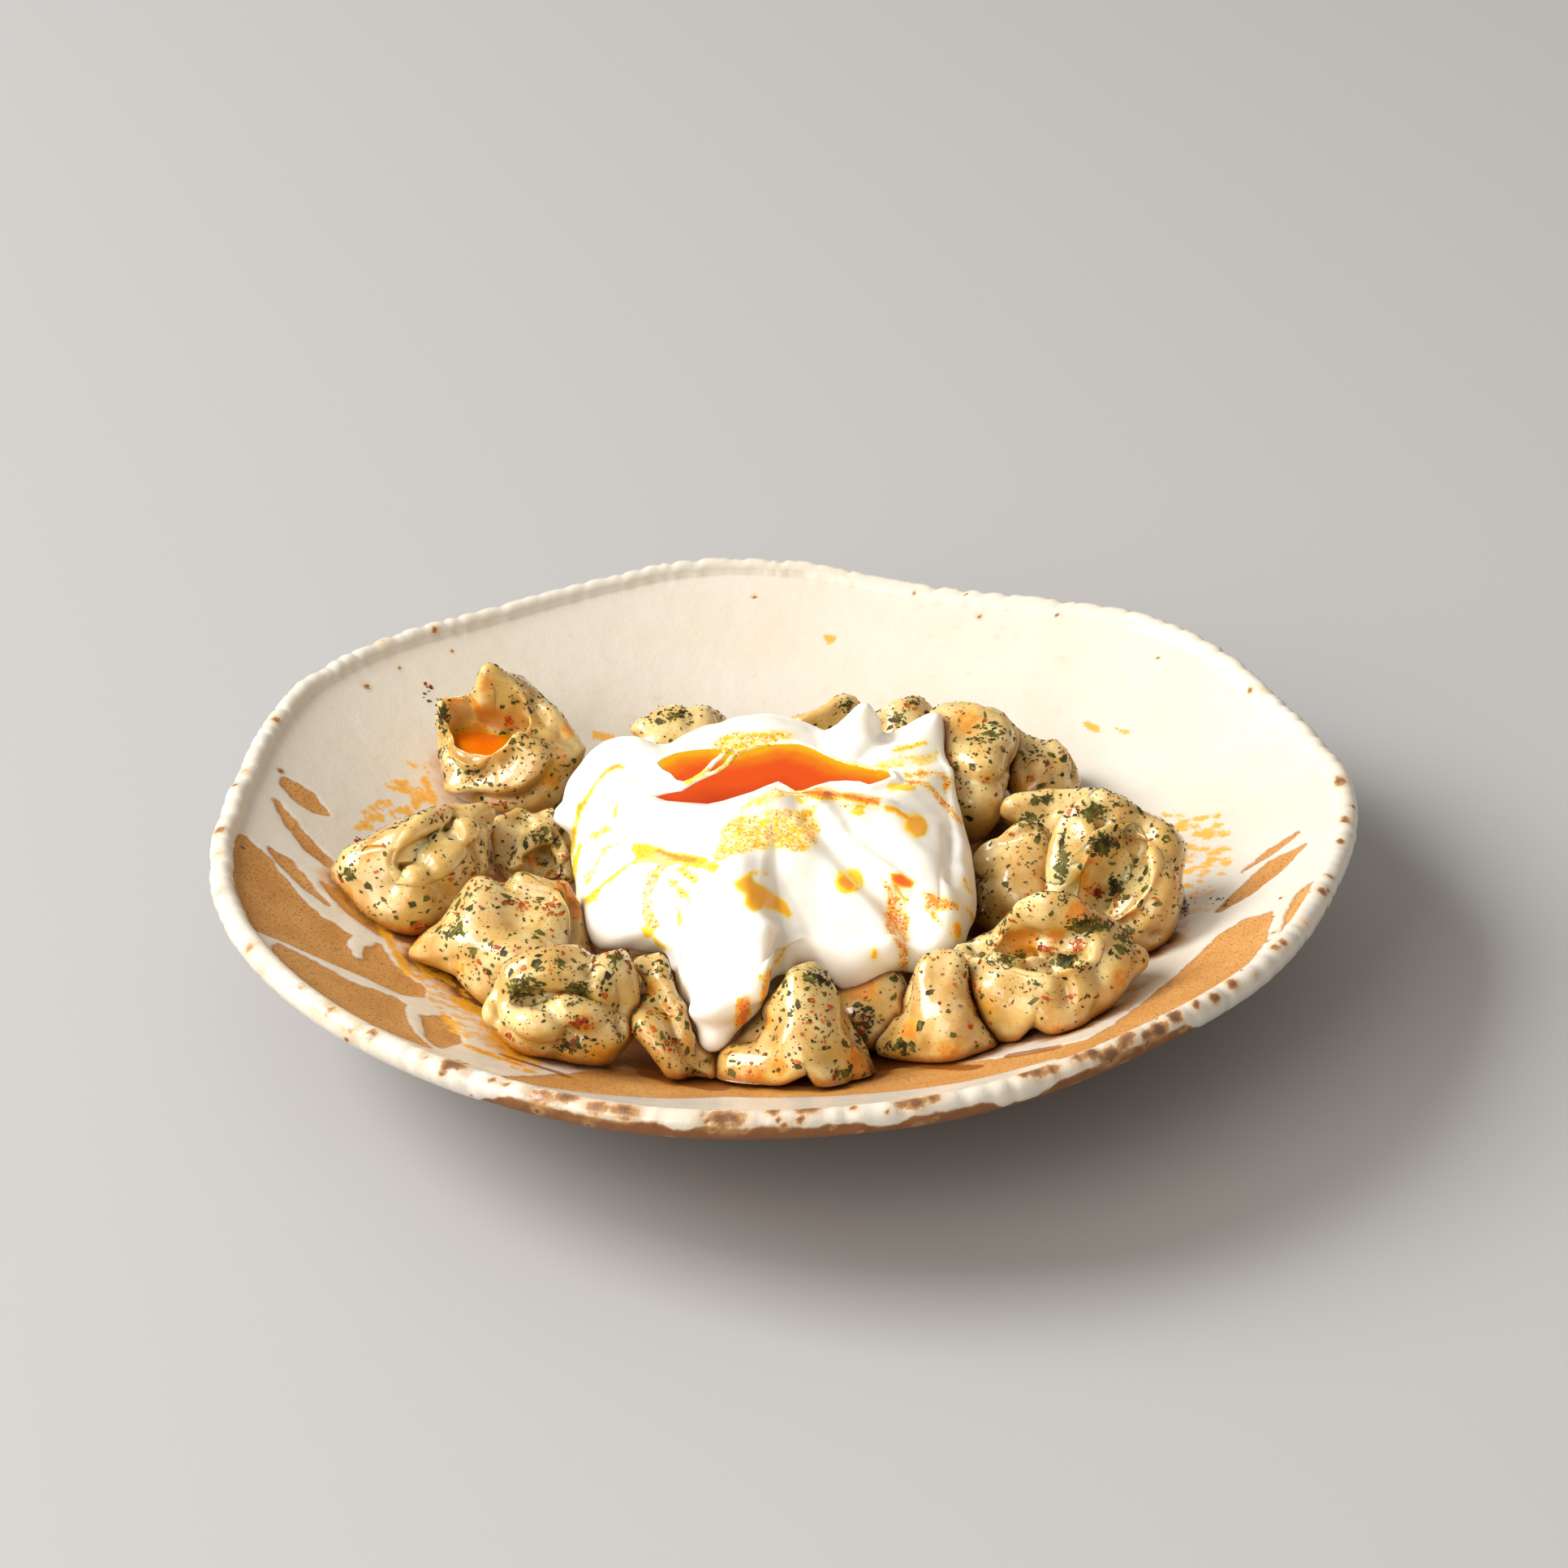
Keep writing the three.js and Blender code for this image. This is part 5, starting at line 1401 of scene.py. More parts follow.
# ---- yoghurt ----------------------------------------------------------------------------------
YOGHURT_AT = (-2.4, -5)
YOGHURT_CROWN = 50
YOGHURT_EDGE_THICK = 8
YOGHURT_UNDERSIDE = 25
YOGHURT_EDGE = [  # angle in degrees, radius, height of the lower edge
    (0, 48, 29), (29, 51, 33), (45, 59, 35), (62, 50, 36), (90, 45, 36), (112, 49, 36), (134, 57, 33),
    (169, 50, 29), (194, 46, 27), (216, 48, 25), (234, 48, 24), (243, 53, 23), (251, 65, 22), (260, 71, 21),
    (267, 67, 21), (275, 51, 24), (283, 48, 26), (296, 53, 24), (311, 53, 26), (330, 49, 28), (347, 48, 29),
]
YOGHURT_RELIEF = [  # x, y, height, length, width, direction in degrees
    (0, 7, -9, 22, 14, 3), (-4, -11, 6, 30, 5, 0), (-1, -12, 4, 5, 6, 0),
    (20, 32, 8, 5, 7, 60), (38, 33, 6, 9, 7, 20), (-16, 30, 5, 18, 7, 0), (-42, 2, 4, 10, 8, 40),
    (20, -34, -4.5, 22, 3.5, -52), (34, -26, 3, 14, 9, -50),
    (-14, -44, 3, 16, 9, -100), (-5, -56, 2, 14, 3, -80),
]
YOGHURT_AROUND = 600
YOGHURT_TOP_ROWS = 120
YOGHURT_TOP_SHARE = 0.92  # how far out the top goes, before the edge bulges
YOGHURT_UNDER_SHARE = 0.93
YOGHURT_BULGE = 0.075  # a share of the radius
# The yoghurt's outline in the view.
YOGHURT_OUTLINE = [
    (677, 1010), (690, 987), (702, 957), (714, 940), (725, 925), (740, 911), (755, 903), (775, 899),
    (790, 907), (805, 914), (822, 914), (835, 905), (850, 898), (870, 890), (885, 888), (900, 880),
    (920, 877), (945, 877), (965, 882), (985, 886), (1005, 892), (1020, 891), (1040, 886), (1053, 876),
    (1062, 864), (1072, 868), (1085, 880), (1095, 890), (1110, 896), (1124, 889), (1138, 880),
    (1150, 875), (1160, 880), (1168, 890), (1174, 905), (1174, 918), (1178, 940), (1176, 965),
    (1180, 985), (1187, 1010), (1192, 1035), (1197, 1055), (1202, 1080), (1206, 1110), (1206, 1135),
    (1200, 1150), (1191, 1165), (1182, 1178), (1162, 1184), (1148, 1186), (1140, 1196), (1128, 1205),
    (1115, 1204), (1105, 1201), (1085, 1212), (1062, 1223), (1045, 1229), (1034, 1222), (1024, 1208),
    (1010, 1196), (995, 1190), (978, 1192), (972, 1205), (958, 1216), (945, 1233), (930, 1251),
    (913, 1268), (896, 1284), (888, 1297), (875, 1297), (860, 1286), (854, 1270), (847, 1250),
    (838, 1238), (828, 1215), (824, 1195), (818, 1180), (805, 1176), (780, 1175), (765, 1168),
    (748, 1172), (738, 1176), (725, 1160), (717, 1145), (711, 1120), (703, 1085), (700, 1060),
    (702, 1040), (704, 1030), (701, 1021), (690, 1017),
]
# Creases, ridges and dimples in the yoghurt: line, height in mm and width in mm.
YOGHURT_FOLDS = [
    ([(1013, 988), (1020, 1000), (1030, 1012), (1036, 1030), (1050, 1045), (1070, 1060),
      (1098, 1078)], 1.8, 2.6),
    ([(1024, 990), (1034, 1004), (1044, 1022), (1058, 1036), (1078, 1048), (1104, 1064)], -1.3, 3.0),
    ([(1010, 1050), (1008, 1100)], -0.8, 4.0), ([(955, 1070), (968, 1090)], -0.9, 4.0),
    ([(955, 1125), (968, 1138)], -1.0, 4.0), ([(936, 1150), (958, 1147), (978, 1150)], 1.5, 2.6),
    ([(982, 1156), (968, 1172), (955, 1200), (950, 1225)], -1.8, 4.0),
    ([(930, 1160), (925, 1190), (920, 1215), (905, 1238)], 1.2, 6.0),
    ([(838, 1238), (860, 1247), (882, 1247), (905, 1239), (926, 1224)], 2.0, 2.6),
    ([(852, 1262), (878, 1268), (902, 1258), (922, 1240)], -1.6, 3.2),
    ([(868, 1284), (888, 1284)], 1.0, 3.0), ([(1113, 1112), (1121, 1150), (1118, 1198)], -1.6, 4.0),
    ([(1140, 1180), (1155, 1155), (1165, 1130)], 1.4, 5.0),
    ([(1060, 1190), (1085, 1175), (1098, 1150)], 1.0, 6.0),
    ([(1171, 1030), (1174, 1055), (1172, 1082)], -1.5, 2.0), ([(1186, 1075), (1192, 1110)], 0.9, 3.0),
    ([(1062, 871), (1056, 890)], 0.8, 3.0), ([(1080, 890), (1098, 905)], -1.5, 4.0),
    ([(1150, 882), (1148, 905)], 0.5, 4.0), ([(1166, 898), (1170, 930)], -1.2, 3.0),
    ([(690, 1008), (705, 1003)], 0.9, 3.0), ([(725, 965), (720, 1000), (722, 1040)], -0.8, 3.5),
    ([(760, 905), (785, 912)], 1.0, 4.0), ([(740, 1140), (780, 1150), (820, 1152)], 0.9, 6.0),
    ([(728, 1100), (738, 1130)], 0.8, 5.0), ([(820, 1180), (860, 1165), (900, 1150)], -0.8, 6.0),
    ([(760, 1000), (800, 1010), (840, 1022)], 0.9, 7.0), ([(880, 1110), (900, 1130)], 0.6, 7.0),
    ([(985, 1010), (975, 1060)], 0.6, 5.0), ([(1120, 990), (1150, 1010), (1160, 1040)], 0.8, 5.0),
    ([(1075, 1000), (1090, 1030)], -0.6, 4.0), ([(1140, 1060), (1150, 1090)], 0.7, 5.0),
    ([(1040, 1120), (1060, 1150)], -0.6, 7.0),
]
BUTTER_LEVEL = 46
BUTTER_AT = (-1, 7)
BUTTER_REACH = 42
BUTTER_DEEP = 4.5  # how deep the hollow is, and how far from the shore it gets so deep
BUTTER_SLOPE = 5
SHORE_LIP = 0.3  # how far the shore stands above the butter
SHORE_LEVEL = 0.8  # beyond this width, it may fall by SHORE_FALL for each mm
SHORE_FALL = 0.8
SHORE_WIDTH = 14
# The pool of butter and its side arm, as the outlines that the camera sees.
POOL = [
    (804, 982), (822, 977), (840, 974), (858, 963), (871, 957), (885, 951), (897, 943), (905, 932),
    (918, 926), (935, 921), (960, 917), (985, 917), (1000, 922), (1014, 929), (1032, 937), (1050, 943),
    (1075, 948), (1096, 951), (1100, 957), (1090, 962), (1071, 968), (1060, 964), (1043, 963),
    (1023, 964), (1005, 969), (990, 975), (981, 976), (969, 969), (959, 964), (945, 969), (929, 976),
    (907, 983), (891, 988), (872, 992), (845, 990), (821, 988),
]
POOL_ARM = [
    (809, 941), (817, 934), (833, 928), (855, 924), (876, 923), (893, 924), (886, 932), (878, 938),
    (871, 946), (864, 953), (853, 960), (842, 964), (833, 962), (826, 954), (816, 949),
]
POOL_BACK = [
    (809, 941), (833, 928), (876, 923), (897, 930), (918, 926), (960, 917), (985, 917), (1014, 929),
    (1050, 943), (1096, 951),
]

OIL_FULL = 1.6  # oil counts as no deeper than this, and grainy oil as less deep
OIL_GRAINY_LESS = 0.42
OIL_THICK = 0.16
# Oil on the yoghurt, as the camera sees it: outline, or line with a width in pixels; how red it is,
# 0 to 1; how grainy it is, 0 to 3.
OIL_AREAS = [
    ([(883, 1045), (890, 1022), (903, 1010), (925, 1003), (950, 998), (985, 1000), (1003, 992),
     (1007, 1010), (1010, 1024), (1006, 1040), (998, 1048), (975, 1047), (950, 1045), (925, 1047),
     (905, 1052), (885, 1060), (877, 1069), (879, 1055)], 0.3, 2.4),
    ([(779, 1040), (795, 1039), (812, 1044), (830, 1050), (850, 1052), (870, 1058), (885, 1066),
     (880, 1075), (868, 1072), (850, 1068), (835, 1066), (820, 1067), (805, 1063), (790, 1063),
     (775, 1065), (765, 1075), (750, 1087), (738, 1100), (735, 1110), (722, 1116), (718, 1108),
     (730, 1098), (745, 1086), (757, 1076), (770, 1068), (782, 1060), (779, 1048)], 0.3, 1.0),
    ([(903, 1087), (915, 1080), (925, 1074), (928, 1085), (940, 1091), (958, 1103), (970, 1113),
     (977, 1128), (970, 1131), (957, 1122), (940, 1120), (928, 1124), (917, 1114), (918, 1103),
     (908, 1095)], 0.35, 0.2),
    ([(1095, 1075), (1110, 1076), (1128, 1087), (1123, 1096), (1108, 1093), (1098, 1086)], 1.0, 0.2),
    ([(1085, 1082), (1092, 1095), (1093, 1110), (1090, 1130), (1095, 1150), (1106, 1165), (1107, 1190),
     (1112, 1201), (1119, 1195), (1118, 1150), (1121, 1130), (1116, 1115), (1109, 1104),
     (1100, 1095)], 0.75, 2.6),
    ([(1138, 1100), (1150, 1099), (1165, 1105), (1178, 1111), (1181, 1120), (1168, 1119), (1155, 1123),
     (1148, 1131), (1140, 1116)], 0.7, 1.8),
    ([(985, 974), (1010, 971), (1050, 977), (1086, 984), (1083, 994), (1050, 989), (1010, 986),
     (989, 981)], 0.35, 1.2),
    ([(910, 1232), (922, 1226), (926, 1245), (918, 1263), (907, 1266), (906, 1248)], 0.8, 1.4),
    ([(876, 922), (888, 908), (903, 901), (925, 904), (950, 902), (975, 902), (982, 906), (965, 912),
     (950, 916), (975, 917), (1000, 922), (1020, 930), (1045, 940), (1070, 943), (1095, 948),
     (1090, 955), (1040, 950), (1000, 935), (960, 926), (915, 934), (897, 948), (880, 950),
     (888, 935)], 0.35, 2.2),
    ([(862, 950), (872, 944), (878, 948), (868, 956), (845, 968), (842, 962)], 0.1, 1.4),
]
OIL_STROKES = [
    ([(918, 1000), (927, 990), (945, 984), (962, 975), (976, 975), (990, 986)], 9, 0.05, 3.0),
    ([(815, 1068), (802, 1088), (797, 1105), (798, 1122), (806, 1140)], 13, 0.4, 2.4),
    ([(835, 1070), (850, 1076), (858, 1084)], 10, 0.35, 2.4), ([(845, 1100), (850, 1112)], 6, 0.3, 2.4),
    ([(835, 1120), (838, 1136)], 7, 0.3, 2.4), ([(822, 1080), (836, 1094), (842, 1104)], 7, 0.3, 2.8),
    ([(797, 1145), (799, 1149)], 13, 0.05, 0.2),
    ([(806, 1156), (812, 1164), (818, 1168)], 5, 0.05, 0.8), ([(928, 1075), (945, 1076)], 4, 0.2, 2.0),
    ([(1043, 1086), (1050, 1085)], 29, 0.12, 0.5), ([(1038, 1086), (1046, 1092)], 7, 0.7, 2.4),
    ([(1103, 1092), (1110, 1102), (1116, 1110), (1121, 1104)], 6, 0.9, 1.2),
    ([(1077, 1172), (1077, 1178)], 9, 0.6, 0.6),
    ([(1145, 1122), (1152, 1130), (1161, 1140)], 4, 0.6, 1.6),
    ([(1178, 1140), (1181, 1150)], 11, 0.5, 0.8), ([(1172, 1148), (1178, 1158)], 5, 0.5, 1.2),
    ([(1187, 1082), (1195, 1098)], 4, 0.6, 1.4),
    ([(1190, 1118), (1198, 1128), (1201, 1138)], 4, 0.6, 1.2),
    ([(1127, 1016), (1130, 1019)], 27, 0.35, 0.4),
    ([(1092, 995), (1103, 998), (1119, 1009)], 7, 0.5, 0.8),
    ([(1050, 1000), (1060, 1000)], 7, 0.05, 1.0), ([(990, 978), (1030, 979), (1078, 988)], 4, 0.9, 1.4),
    ([(1036, 992), (1060, 993), (1081, 995)], 3, 0.7, 1.8),
    ([(1118, 955), (1145, 952), (1160, 956), (1169, 963), (1165, 972)], 8, 0.7, 2.0),
    ([(1120, 963), (1145, 969), (1160, 985), (1172, 999), (1184, 1013)], 6, 0.8, 2.0),
    ([(1098, 970), (1125, 970)], 8, 0.2, 1.2), ([(1100, 925), (1120, 921), (1140, 915)], 5, 0.5, 1.2),
    ([(1085, 942), (1110, 938), (1150, 934)], 10, 0.15, 3.0),
    ([(768, 945), (755, 946), (745, 952), (735, 965), (722, 985), (715, 998), (708, 1020), (704, 1050),
      (702, 1072)], 5, 0.55, 0.9),
    ([(762, 944), (754, 947)], 7, 0.8, 0.5), ([(715, 992), (712, 1000)], 7, 0.8, 0.6),
    ([(760, 992), (757, 1006)], 4, 0.2, 0.8), ([(728, 1031), (738, 1026), (749, 1020)], 7, 0.1, 1.6),
    ([(760, 1040), (745, 1046), (735, 1065), (722, 1086)], 5, 0.2, 1.8),
    ([(715, 1042), (709, 1060), (706, 1080)], 6, 0.05, 0.8), ([(720, 1080), (733, 1070)], 4, 0.1, 1.0),
    ([(704, 1035), (703, 1060), (705, 1095), (712, 1130), (715, 1146)], 6, 0.7, 1.2),
    ([(966, 1169), (957, 1186)], 6, 0.8, 0.8), ([(948, 1196), (943, 1215), (938, 1236)], 6, 0.9, 1.2),
    ([(935, 1203), (936, 1207)], 6, 0.9, 0.4), ([(1005, 936), (1040, 944), (1072, 950)], 7, 0.0, 1.6),
    ([(812, 1050), (838, 1058), (856, 1060)], 6, 0.75, 1.0),
]


def yoghurt_edge(angle):
    """The edge's radius and height, eased from one named point to the next."""
    degrees = np.degrees(angle) % 360
    starts = np.array([entry[0] for entry in YOGHURT_EDGE])
    i = np.searchsorted(starts, degrees, side="right") - 1
    following = (i + 1) % len(starts)
    span = (starts[following] - starts[i]) % 360
    share = smooth((degrees - starts[i]) / span)
    table = np.array(YOGHURT_EDGE, float)
    return mix(table[i, 1], table[following, 1], share), mix(table[i, 2], table[following, 2], share)


def yoghurt_relief(x, y):
    """The humps and hollows of the mound."""
    total = np.zeros_like(x)
    for cx, cy, height, length, width, direction in YOGHURT_RELIEF:
        c, s = math.cos(math.radians(direction)), math.sin(math.radians(direction))
        along = ((x - cx) * c + (y - cy) * s) / length
        across = ((y - cy) * c - (x - cx) * s) / width
        total += height * np.exp(-along ** 2 - across ** 2)
    return total


def at_level(pixels, level):
    """Pixels cast onto a level plane."""
    rays = [sight(pixel) for pixel in pixels]
    return np.array([EYE + ray * (level - EYE[2]) / ray[2] for ray in rays]) * FLAT


def pool_depth(flat):
    """How deep in the pool of butter or its arm each flat place lies, in mm, negative outside."""
    outlines = [at_level(outline, BUTTER_LEVEL) for outline in (POOL, POOL_ARM)]
    return np.maximum(*[inside_outline(flat, outline) for outline in outlines])


def yoghurt_grid():
    """The spooned mound, before it is drawn to its outline."""
    angle = np.linspace(0, TAU, YOGHURT_AROUND, endpoint=False)
    radius, low = yoghurt_edge(angle)
    rows = []
    for share in np.linspace(0, YOGHURT_TOP_SHARE, YOGHURT_TOP_ROWS):
        x, y = ring_round(YOGHURT_AT, radius * share, angle)
        z = mix(low + YOGHURT_EDGE_THICK, YOGHURT_CROWN, 1 - share ** 2.6) + yoghurt_relief(x, y)
        rows.append(np.stack([x, y, z], -1))
    upper = rows[-1]
    x, y = ring_round(YOGHURT_AT, radius * YOGHURT_UNDER_SHARE, angle)
    z = mix(YOGHURT_UNDERSIDE, low, smooth(YOGHURT_UNDER_SHARE)) - 0.3
    lower = np.stack([x, y, z], -1)
    outward = np.stack([np.cos(angle), np.sin(angle), 0 * angle], -1)
    for t in np.linspace(0, math.pi, 26)[1:-1]:
        middle = mix(upper, lower, (1 - math.cos(t)) / 2)
        bulge = (radius * YOGHURT_BULGE)[:, None] * outward * math.sin(t) ** 0.7
        rows.append(middle + bulge)
    rows.append(lower)
    for share in np.linspace(0.86, 0.0, 14):
        x, y = ring_round(YOGHURT_AT, radius * share, angle)
        z = mix(YOGHURT_UNDERSIDE, low, smooth(share)) - 0.4
        rows.append(np.stack([x, y, z], -1))
    return np.stack(rows)


def shape_yoghurt():
    """The yoghurt's points and faces, with its creases and the hollow that holds the butter."""
    grid = yoghurt_grid()
    points = drawn_to(grid_points(grid), YOGHURT_OUTLINE)
    faces = grid_faces(*grid.shape[:2], from_top=True)
    tree = tree_of(points, faces)
    relief = 0.4 * noise(points, 9, 1) + 0.12 * noise(points, 4, 2)
    relief = with_folds(relief, points, tree, YOGHURT_FOLDS)
    points = points + normals_of(points, faces) * relief[:, None]

    top = np.arange(len(points)) < 1 + (YOGHURT_TOP_ROWS - 1) * YOGHURT_AROUND
    depth = pool_depth(points * FLAT)
    shore = np.maximum(-depth, 0)
    # round the pool the yoghurt neither rises nor falls away too steeply
    steepest = mix(0.5, 1.1, smooth((points[:, 1] - 2) / 8))
    highest = BUTTER_LEVEL + SHORE_LIP + steepest * shore
    lowest = BUTTER_LEVEL + SHORE_LIP - SHORE_FALL * np.maximum(shore - SHORE_LEVEL, 0)
    under = BUTTER_DEEP * smooth(depth / BUTTER_SLOPE)
    hollow = BUTTER_LEVEL + SHORE_LIP * (1 - np.clip(depth / SHORE_LIP, 0, 2)) - under
    near = top & (depth > -SHORE_WIDTH) & (depth <= 0)
    points[near, 2] = np.clip(points[near, 2], lowest[near], highest[near])
    points[top & (depth > 0), 2] = hollow[top & (depth > 0)]
    return points, faces


def make_yoghurt(points, faces):
    """Makes the yoghurt, with the oil that streaks it."""
    tree = tree_of(points, faces)
    seen = np.flatnonzero(seen_points(tree, points))
    flat = at_zero(pixels_of(points[seen])[0])
    oil = np.full(len(seen), FAR_OUTSIDE)
    red = np.zeros(len(seen))
    grain = np.zeros(len(seen))
    reaches = []
    for outline, redness, grainy in OIL_AREAS:
        reaches.append((inside_outline(flat, at_zero(outline)) / PIXELS_PER_MM, redness, grainy))
    for line, width, redness, grainy in OIL_STROKES:
        reach = width / 2 - distance_to_line(flat, at_zero(line))
        reaches.append((reach / PIXELS_PER_MM, redness, grainy))
    for reach, redness, grainy in reaches:
        reach = np.minimum(reach, OIL_FULL - OIL_GRAINY_LESS * grainy)
        stronger = reach > oil
        oil[stronger] = reach[stronger]
        grain[stronger] = grainy
        red = np.maximum(red, redness * smooth((reach + 0.9) / 1.2))
    whole = {}
    for key, values, elsewhere in (("oil", oil, FAR_OUTSIDE), ("red", red, 0.0), ("grain", grain, 0.0)):
        whole[key] = np.full(len(points), elsewhere)
        whole[key][seen] = values
    lift = OIL_THICK * smooth(whole["oil"] / 0.8) * (1 - smooth((whole["grain"] - 1) / 1.5))
    points = points + normals_of(points, faces) * lift[:, None]
    piece = make_mesh("yoghurt_spooned", points, faces, yoghurt_look(), whole)
    dress(piece, "yoghurt", "yoghurt")


# ---- oil that lies in hollows -----------------------------------------------------------------
OIL_LEVEL = 34
OIL_AT = (-70, 40)
SHEET_AROUND = 360
SHEET_ROWS = 90
SHEET_THICK = 1.2
SHEET_EDGE_SHARE = 0.98  # how far out the underside reaches
CLIMB = 0.12  # how high the oil climbs at its edge, and over how much of its width
CLIMB_WIDTH = 0.4
DEEPEST = 24  # oil looks no deeper than this
OIL_HOLDER = 17  # the open dumpling that holds oil
BUTTER_OVERLAP = 0.7  # how far the sheets reach into what holds them
OIL_OVERLAP = 0.4
HOLDER_RADIUS = 15  # no part of the open dumpling's oil is farther out
HOLDER_MISSED = 9  # how far it goes where no wall is met


def make_sheet(name, node, centre, level, radii, depth_of, material):
    """A level sheet of oil. Its edge lies a little inside what holds it."""
    angle = np.linspace(0, TAU, SHEET_AROUND, endpoint=False)
    rows = [(share, level) for share in np.linspace(0, 1, SHEET_ROWS)]
    rows += [(SHEET_EDGE_SHARE, level - SHEET_THICK), (0.0, level - SHEET_THICK)]
    grid = []
    for share, height in rows:
        x, y = ring_round(centre, radii * share, angle)
        grid.append(np.stack([x, y, height + 0 * angle], -1))
    grid = np.stack(grid)
    points = grid_points(grid)
    deep = depth_of(points)
    upper = points[:, 2] > level - 0.1
    points[:, 2] += np.where(upper, CLIMB * hill(np.maximum(deep, 0), CLIMB_WIDTH), 0)
    faces = grid_faces(*grid.shape[:2], from_top=True)
    piece = make_mesh(name, points, faces, material, {"deep": np.clip(deep, 0, DEEPEST)})
    dress(piece, "chilli_butter", node)


def butter_reach():
    """How far the pool and its arm reach from the sheet's middle, in every direction."""
    reaches = np.linspace(0, BUTTER_REACH, 200)
    radii = []
    for angle in np.linspace(0, TAU, SHEET_AROUND, endpoint=False):
        ray = np.column_stack([*ring_round(BUTTER_AT, reaches, angle), 0 * reaches])
        radii.append(reaches[np.flatnonzero(pool_depth(ray) > 0)[-1]])
    return np.array(radii) + BUTTER_OVERLAP


def hollow_reach(tree):
    """How far the open dumpling's hollow reaches from the oil's middle, in every direction."""
    start = Vector((*OIL_AT, OIL_LEVEL - 0.3))
    radii = []
    for angle in np.linspace(0, TAU, SHEET_AROUND, endpoint=False):
        wall = tree.ray_cast(start, Vector((math.cos(angle), math.sin(angle), 0)))[3]
        radii.append(min(wall or HOLDER_MISSED, HOLDER_RADIUS) + OIL_OVERLAP)
    return softened(softened(np.array(radii)))


def make_oil(holder_tree):
    """Makes the pool of butter and the oil in the open dumpling."""
    back = at_level(POOL_BACK, BUTTER_LEVEL)

    def butter_depth(points):
        return distance_to_line(points * FLAT, back) * 0.9

    def oil_depth(points):
        down = Vector((0, 0, -1))
        hits = [holder_tree.ray_cast(Vector(p) + Vector((0, 0, 0.5)), down)[0] for p in points.tolist()]
        return np.array([0.0 if hit is None else OIL_LEVEL - hit.z for hit in hits])

    liquid = oil_look()
    make_sheet("chilli_butter_pool", "chilli_butter", BUTTER_AT, BUTTER_LEVEL, butter_reach(),
               butter_depth, liquid)
    make_sheet("chilli_oil_pool", "chilli_oil", OIL_AT, OIL_LEVEL, hollow_reach(holder_tree),
               oil_depth, liquid)


# ---- herb and chilli flakes -------------------------------------------------------------------
HERB_CLUMPS = [  # place, spread in pixels and count
    ((545, 882), (7, 14), 34), ((690, 1000), (12, 8), 22), ((655, 1215), (13, 12), 24),
    ((712, 1220), (13, 10), 32), ((636, 1222), (8, 14), 30), ((700, 1290), (20, 7), 26),
    ((1340, 1140), (18, 10), 70), ((1315, 1185), (14, 9), 40), ((1385, 1160), (10, 16), 30),
    ((1360, 1040), (14, 12), 90), ((1310, 1060), (6, 30), 50), ((1345, 1000), (16, 8), 36),
    ((1375, 1100), (8, 14), 34), ((1010, 1205), (18, 8), 30), ((1065, 1260), (10, 24), 40),
    ((1110, 1290), (16, 8), 26), ((1240, 1180), (12, 6), 16), ((940, 1230), (8, 8), 20),
    ((760, 1178), (10, 5), 16), ((665, 1030), (12, 8), 20), ((430, 1075), (6, 8), 16),
    ((560, 1148), (16, 6), 20), ((1270, 1010), (14, 8), 26), ((1215, 905), (16, 14), 26),
    ((830, 880), (22, 8), 20), ((1500, 1110), (12, 8), 4), ((1460, 1115), (8, 12), 7),
    ((528, 860), (8, 10), 3), ((1040, 870), (12, 6), 12), ((1108, 884), (8, 6), 12),
    ((640, 915), (20, 20), 20), ((1285, 985), (16, 6), 18),
]
CHILLI_CLUMPS = [
    ((626, 888), (4, 5), 7), ((1352, 1100), (6, 8), 22), ((1330, 1165), (10, 6), 12),
    ((1248, 1135), (4, 3), 3), ((715, 1262), (10, 6), 14), ((700, 1285), (12, 8), 10),
    ((640, 1115), (20, 10), 10), ((680, 1120), (14, 12), 12), ((585, 1075), (4, 3), 4),
    ((440, 1035), (4, 3), 3), ((422, 1085), (3, 3), 3), ((1290, 1170), (10, 6), 12),
    ((1000, 1255), (14, 10), 8), ((775, 1190), (4, 8), 5), ((620, 990), (10, 3), 6),
    ((520, 1142), (12, 6), 8), ((1062, 1265), (8, 14), 8), ((1270, 960), (6, 4), 4),
    ((690, 1080), (10, 8), 8), ((545, 1005), (8, 5), 5), ((825, 1290), (6, 10), 5),
    ((527, 843), (3, 3), 2), ((1375, 1110), (6, 10), 8), ((1215, 960), (4, 4), 3),
]
CLUMP_SHARE = 2.2  # how many flakes a clump has for each one that is listed
# Each kind lies in clumps, and more are scattered over the dumplings. `small` is the least and
# greatest length of most of them in mm, and `large` that of one in `large_each`. A flake is at least
# `slim` times as wide as it is long, and it curls up by about `curl` mm.
FLAKES = [
    dict(name="herb_flakes", clumps=HERB_CLUMPS, scattered=2900, small=(0.55, 1.8), large_each=16,
         large=(1.9, 3.1), slim=0.25, curl=0.14),
    dict(name="herb_crumbs", clumps=[], scattered=3800, small=(0.25, 0.65), large_each=16,
         large=(1.9, 3.1), slim=0.4, curl=0.1),
    dict(name="chilli_flakes", clumps=CHILLI_CLUMPS, scattered=1300, small=(0.4, 1.4), large_each=14,
         large=(1.3, 2.2), slim=0.5, curl=0.2),
]
FLAKE_CORNERS = 5
FLAKE_SUNK = 0.08
YOGHURT_CLEAR = 1.0  # no flake lies nearer to the yoghurt
FLAKE_REACH = (0.6, 1.15)  # how far out the corners are, as shares of half the length or width
FLAKE_CURLS = (0.3, 1.3)
FLAKE_NARROWEST = 0.22
CORNER_SPACING = 0.72  # the corners are this evenly spaced, and shift at random by CORNER_SHIFT
CORNER_SHIFT = 0.35


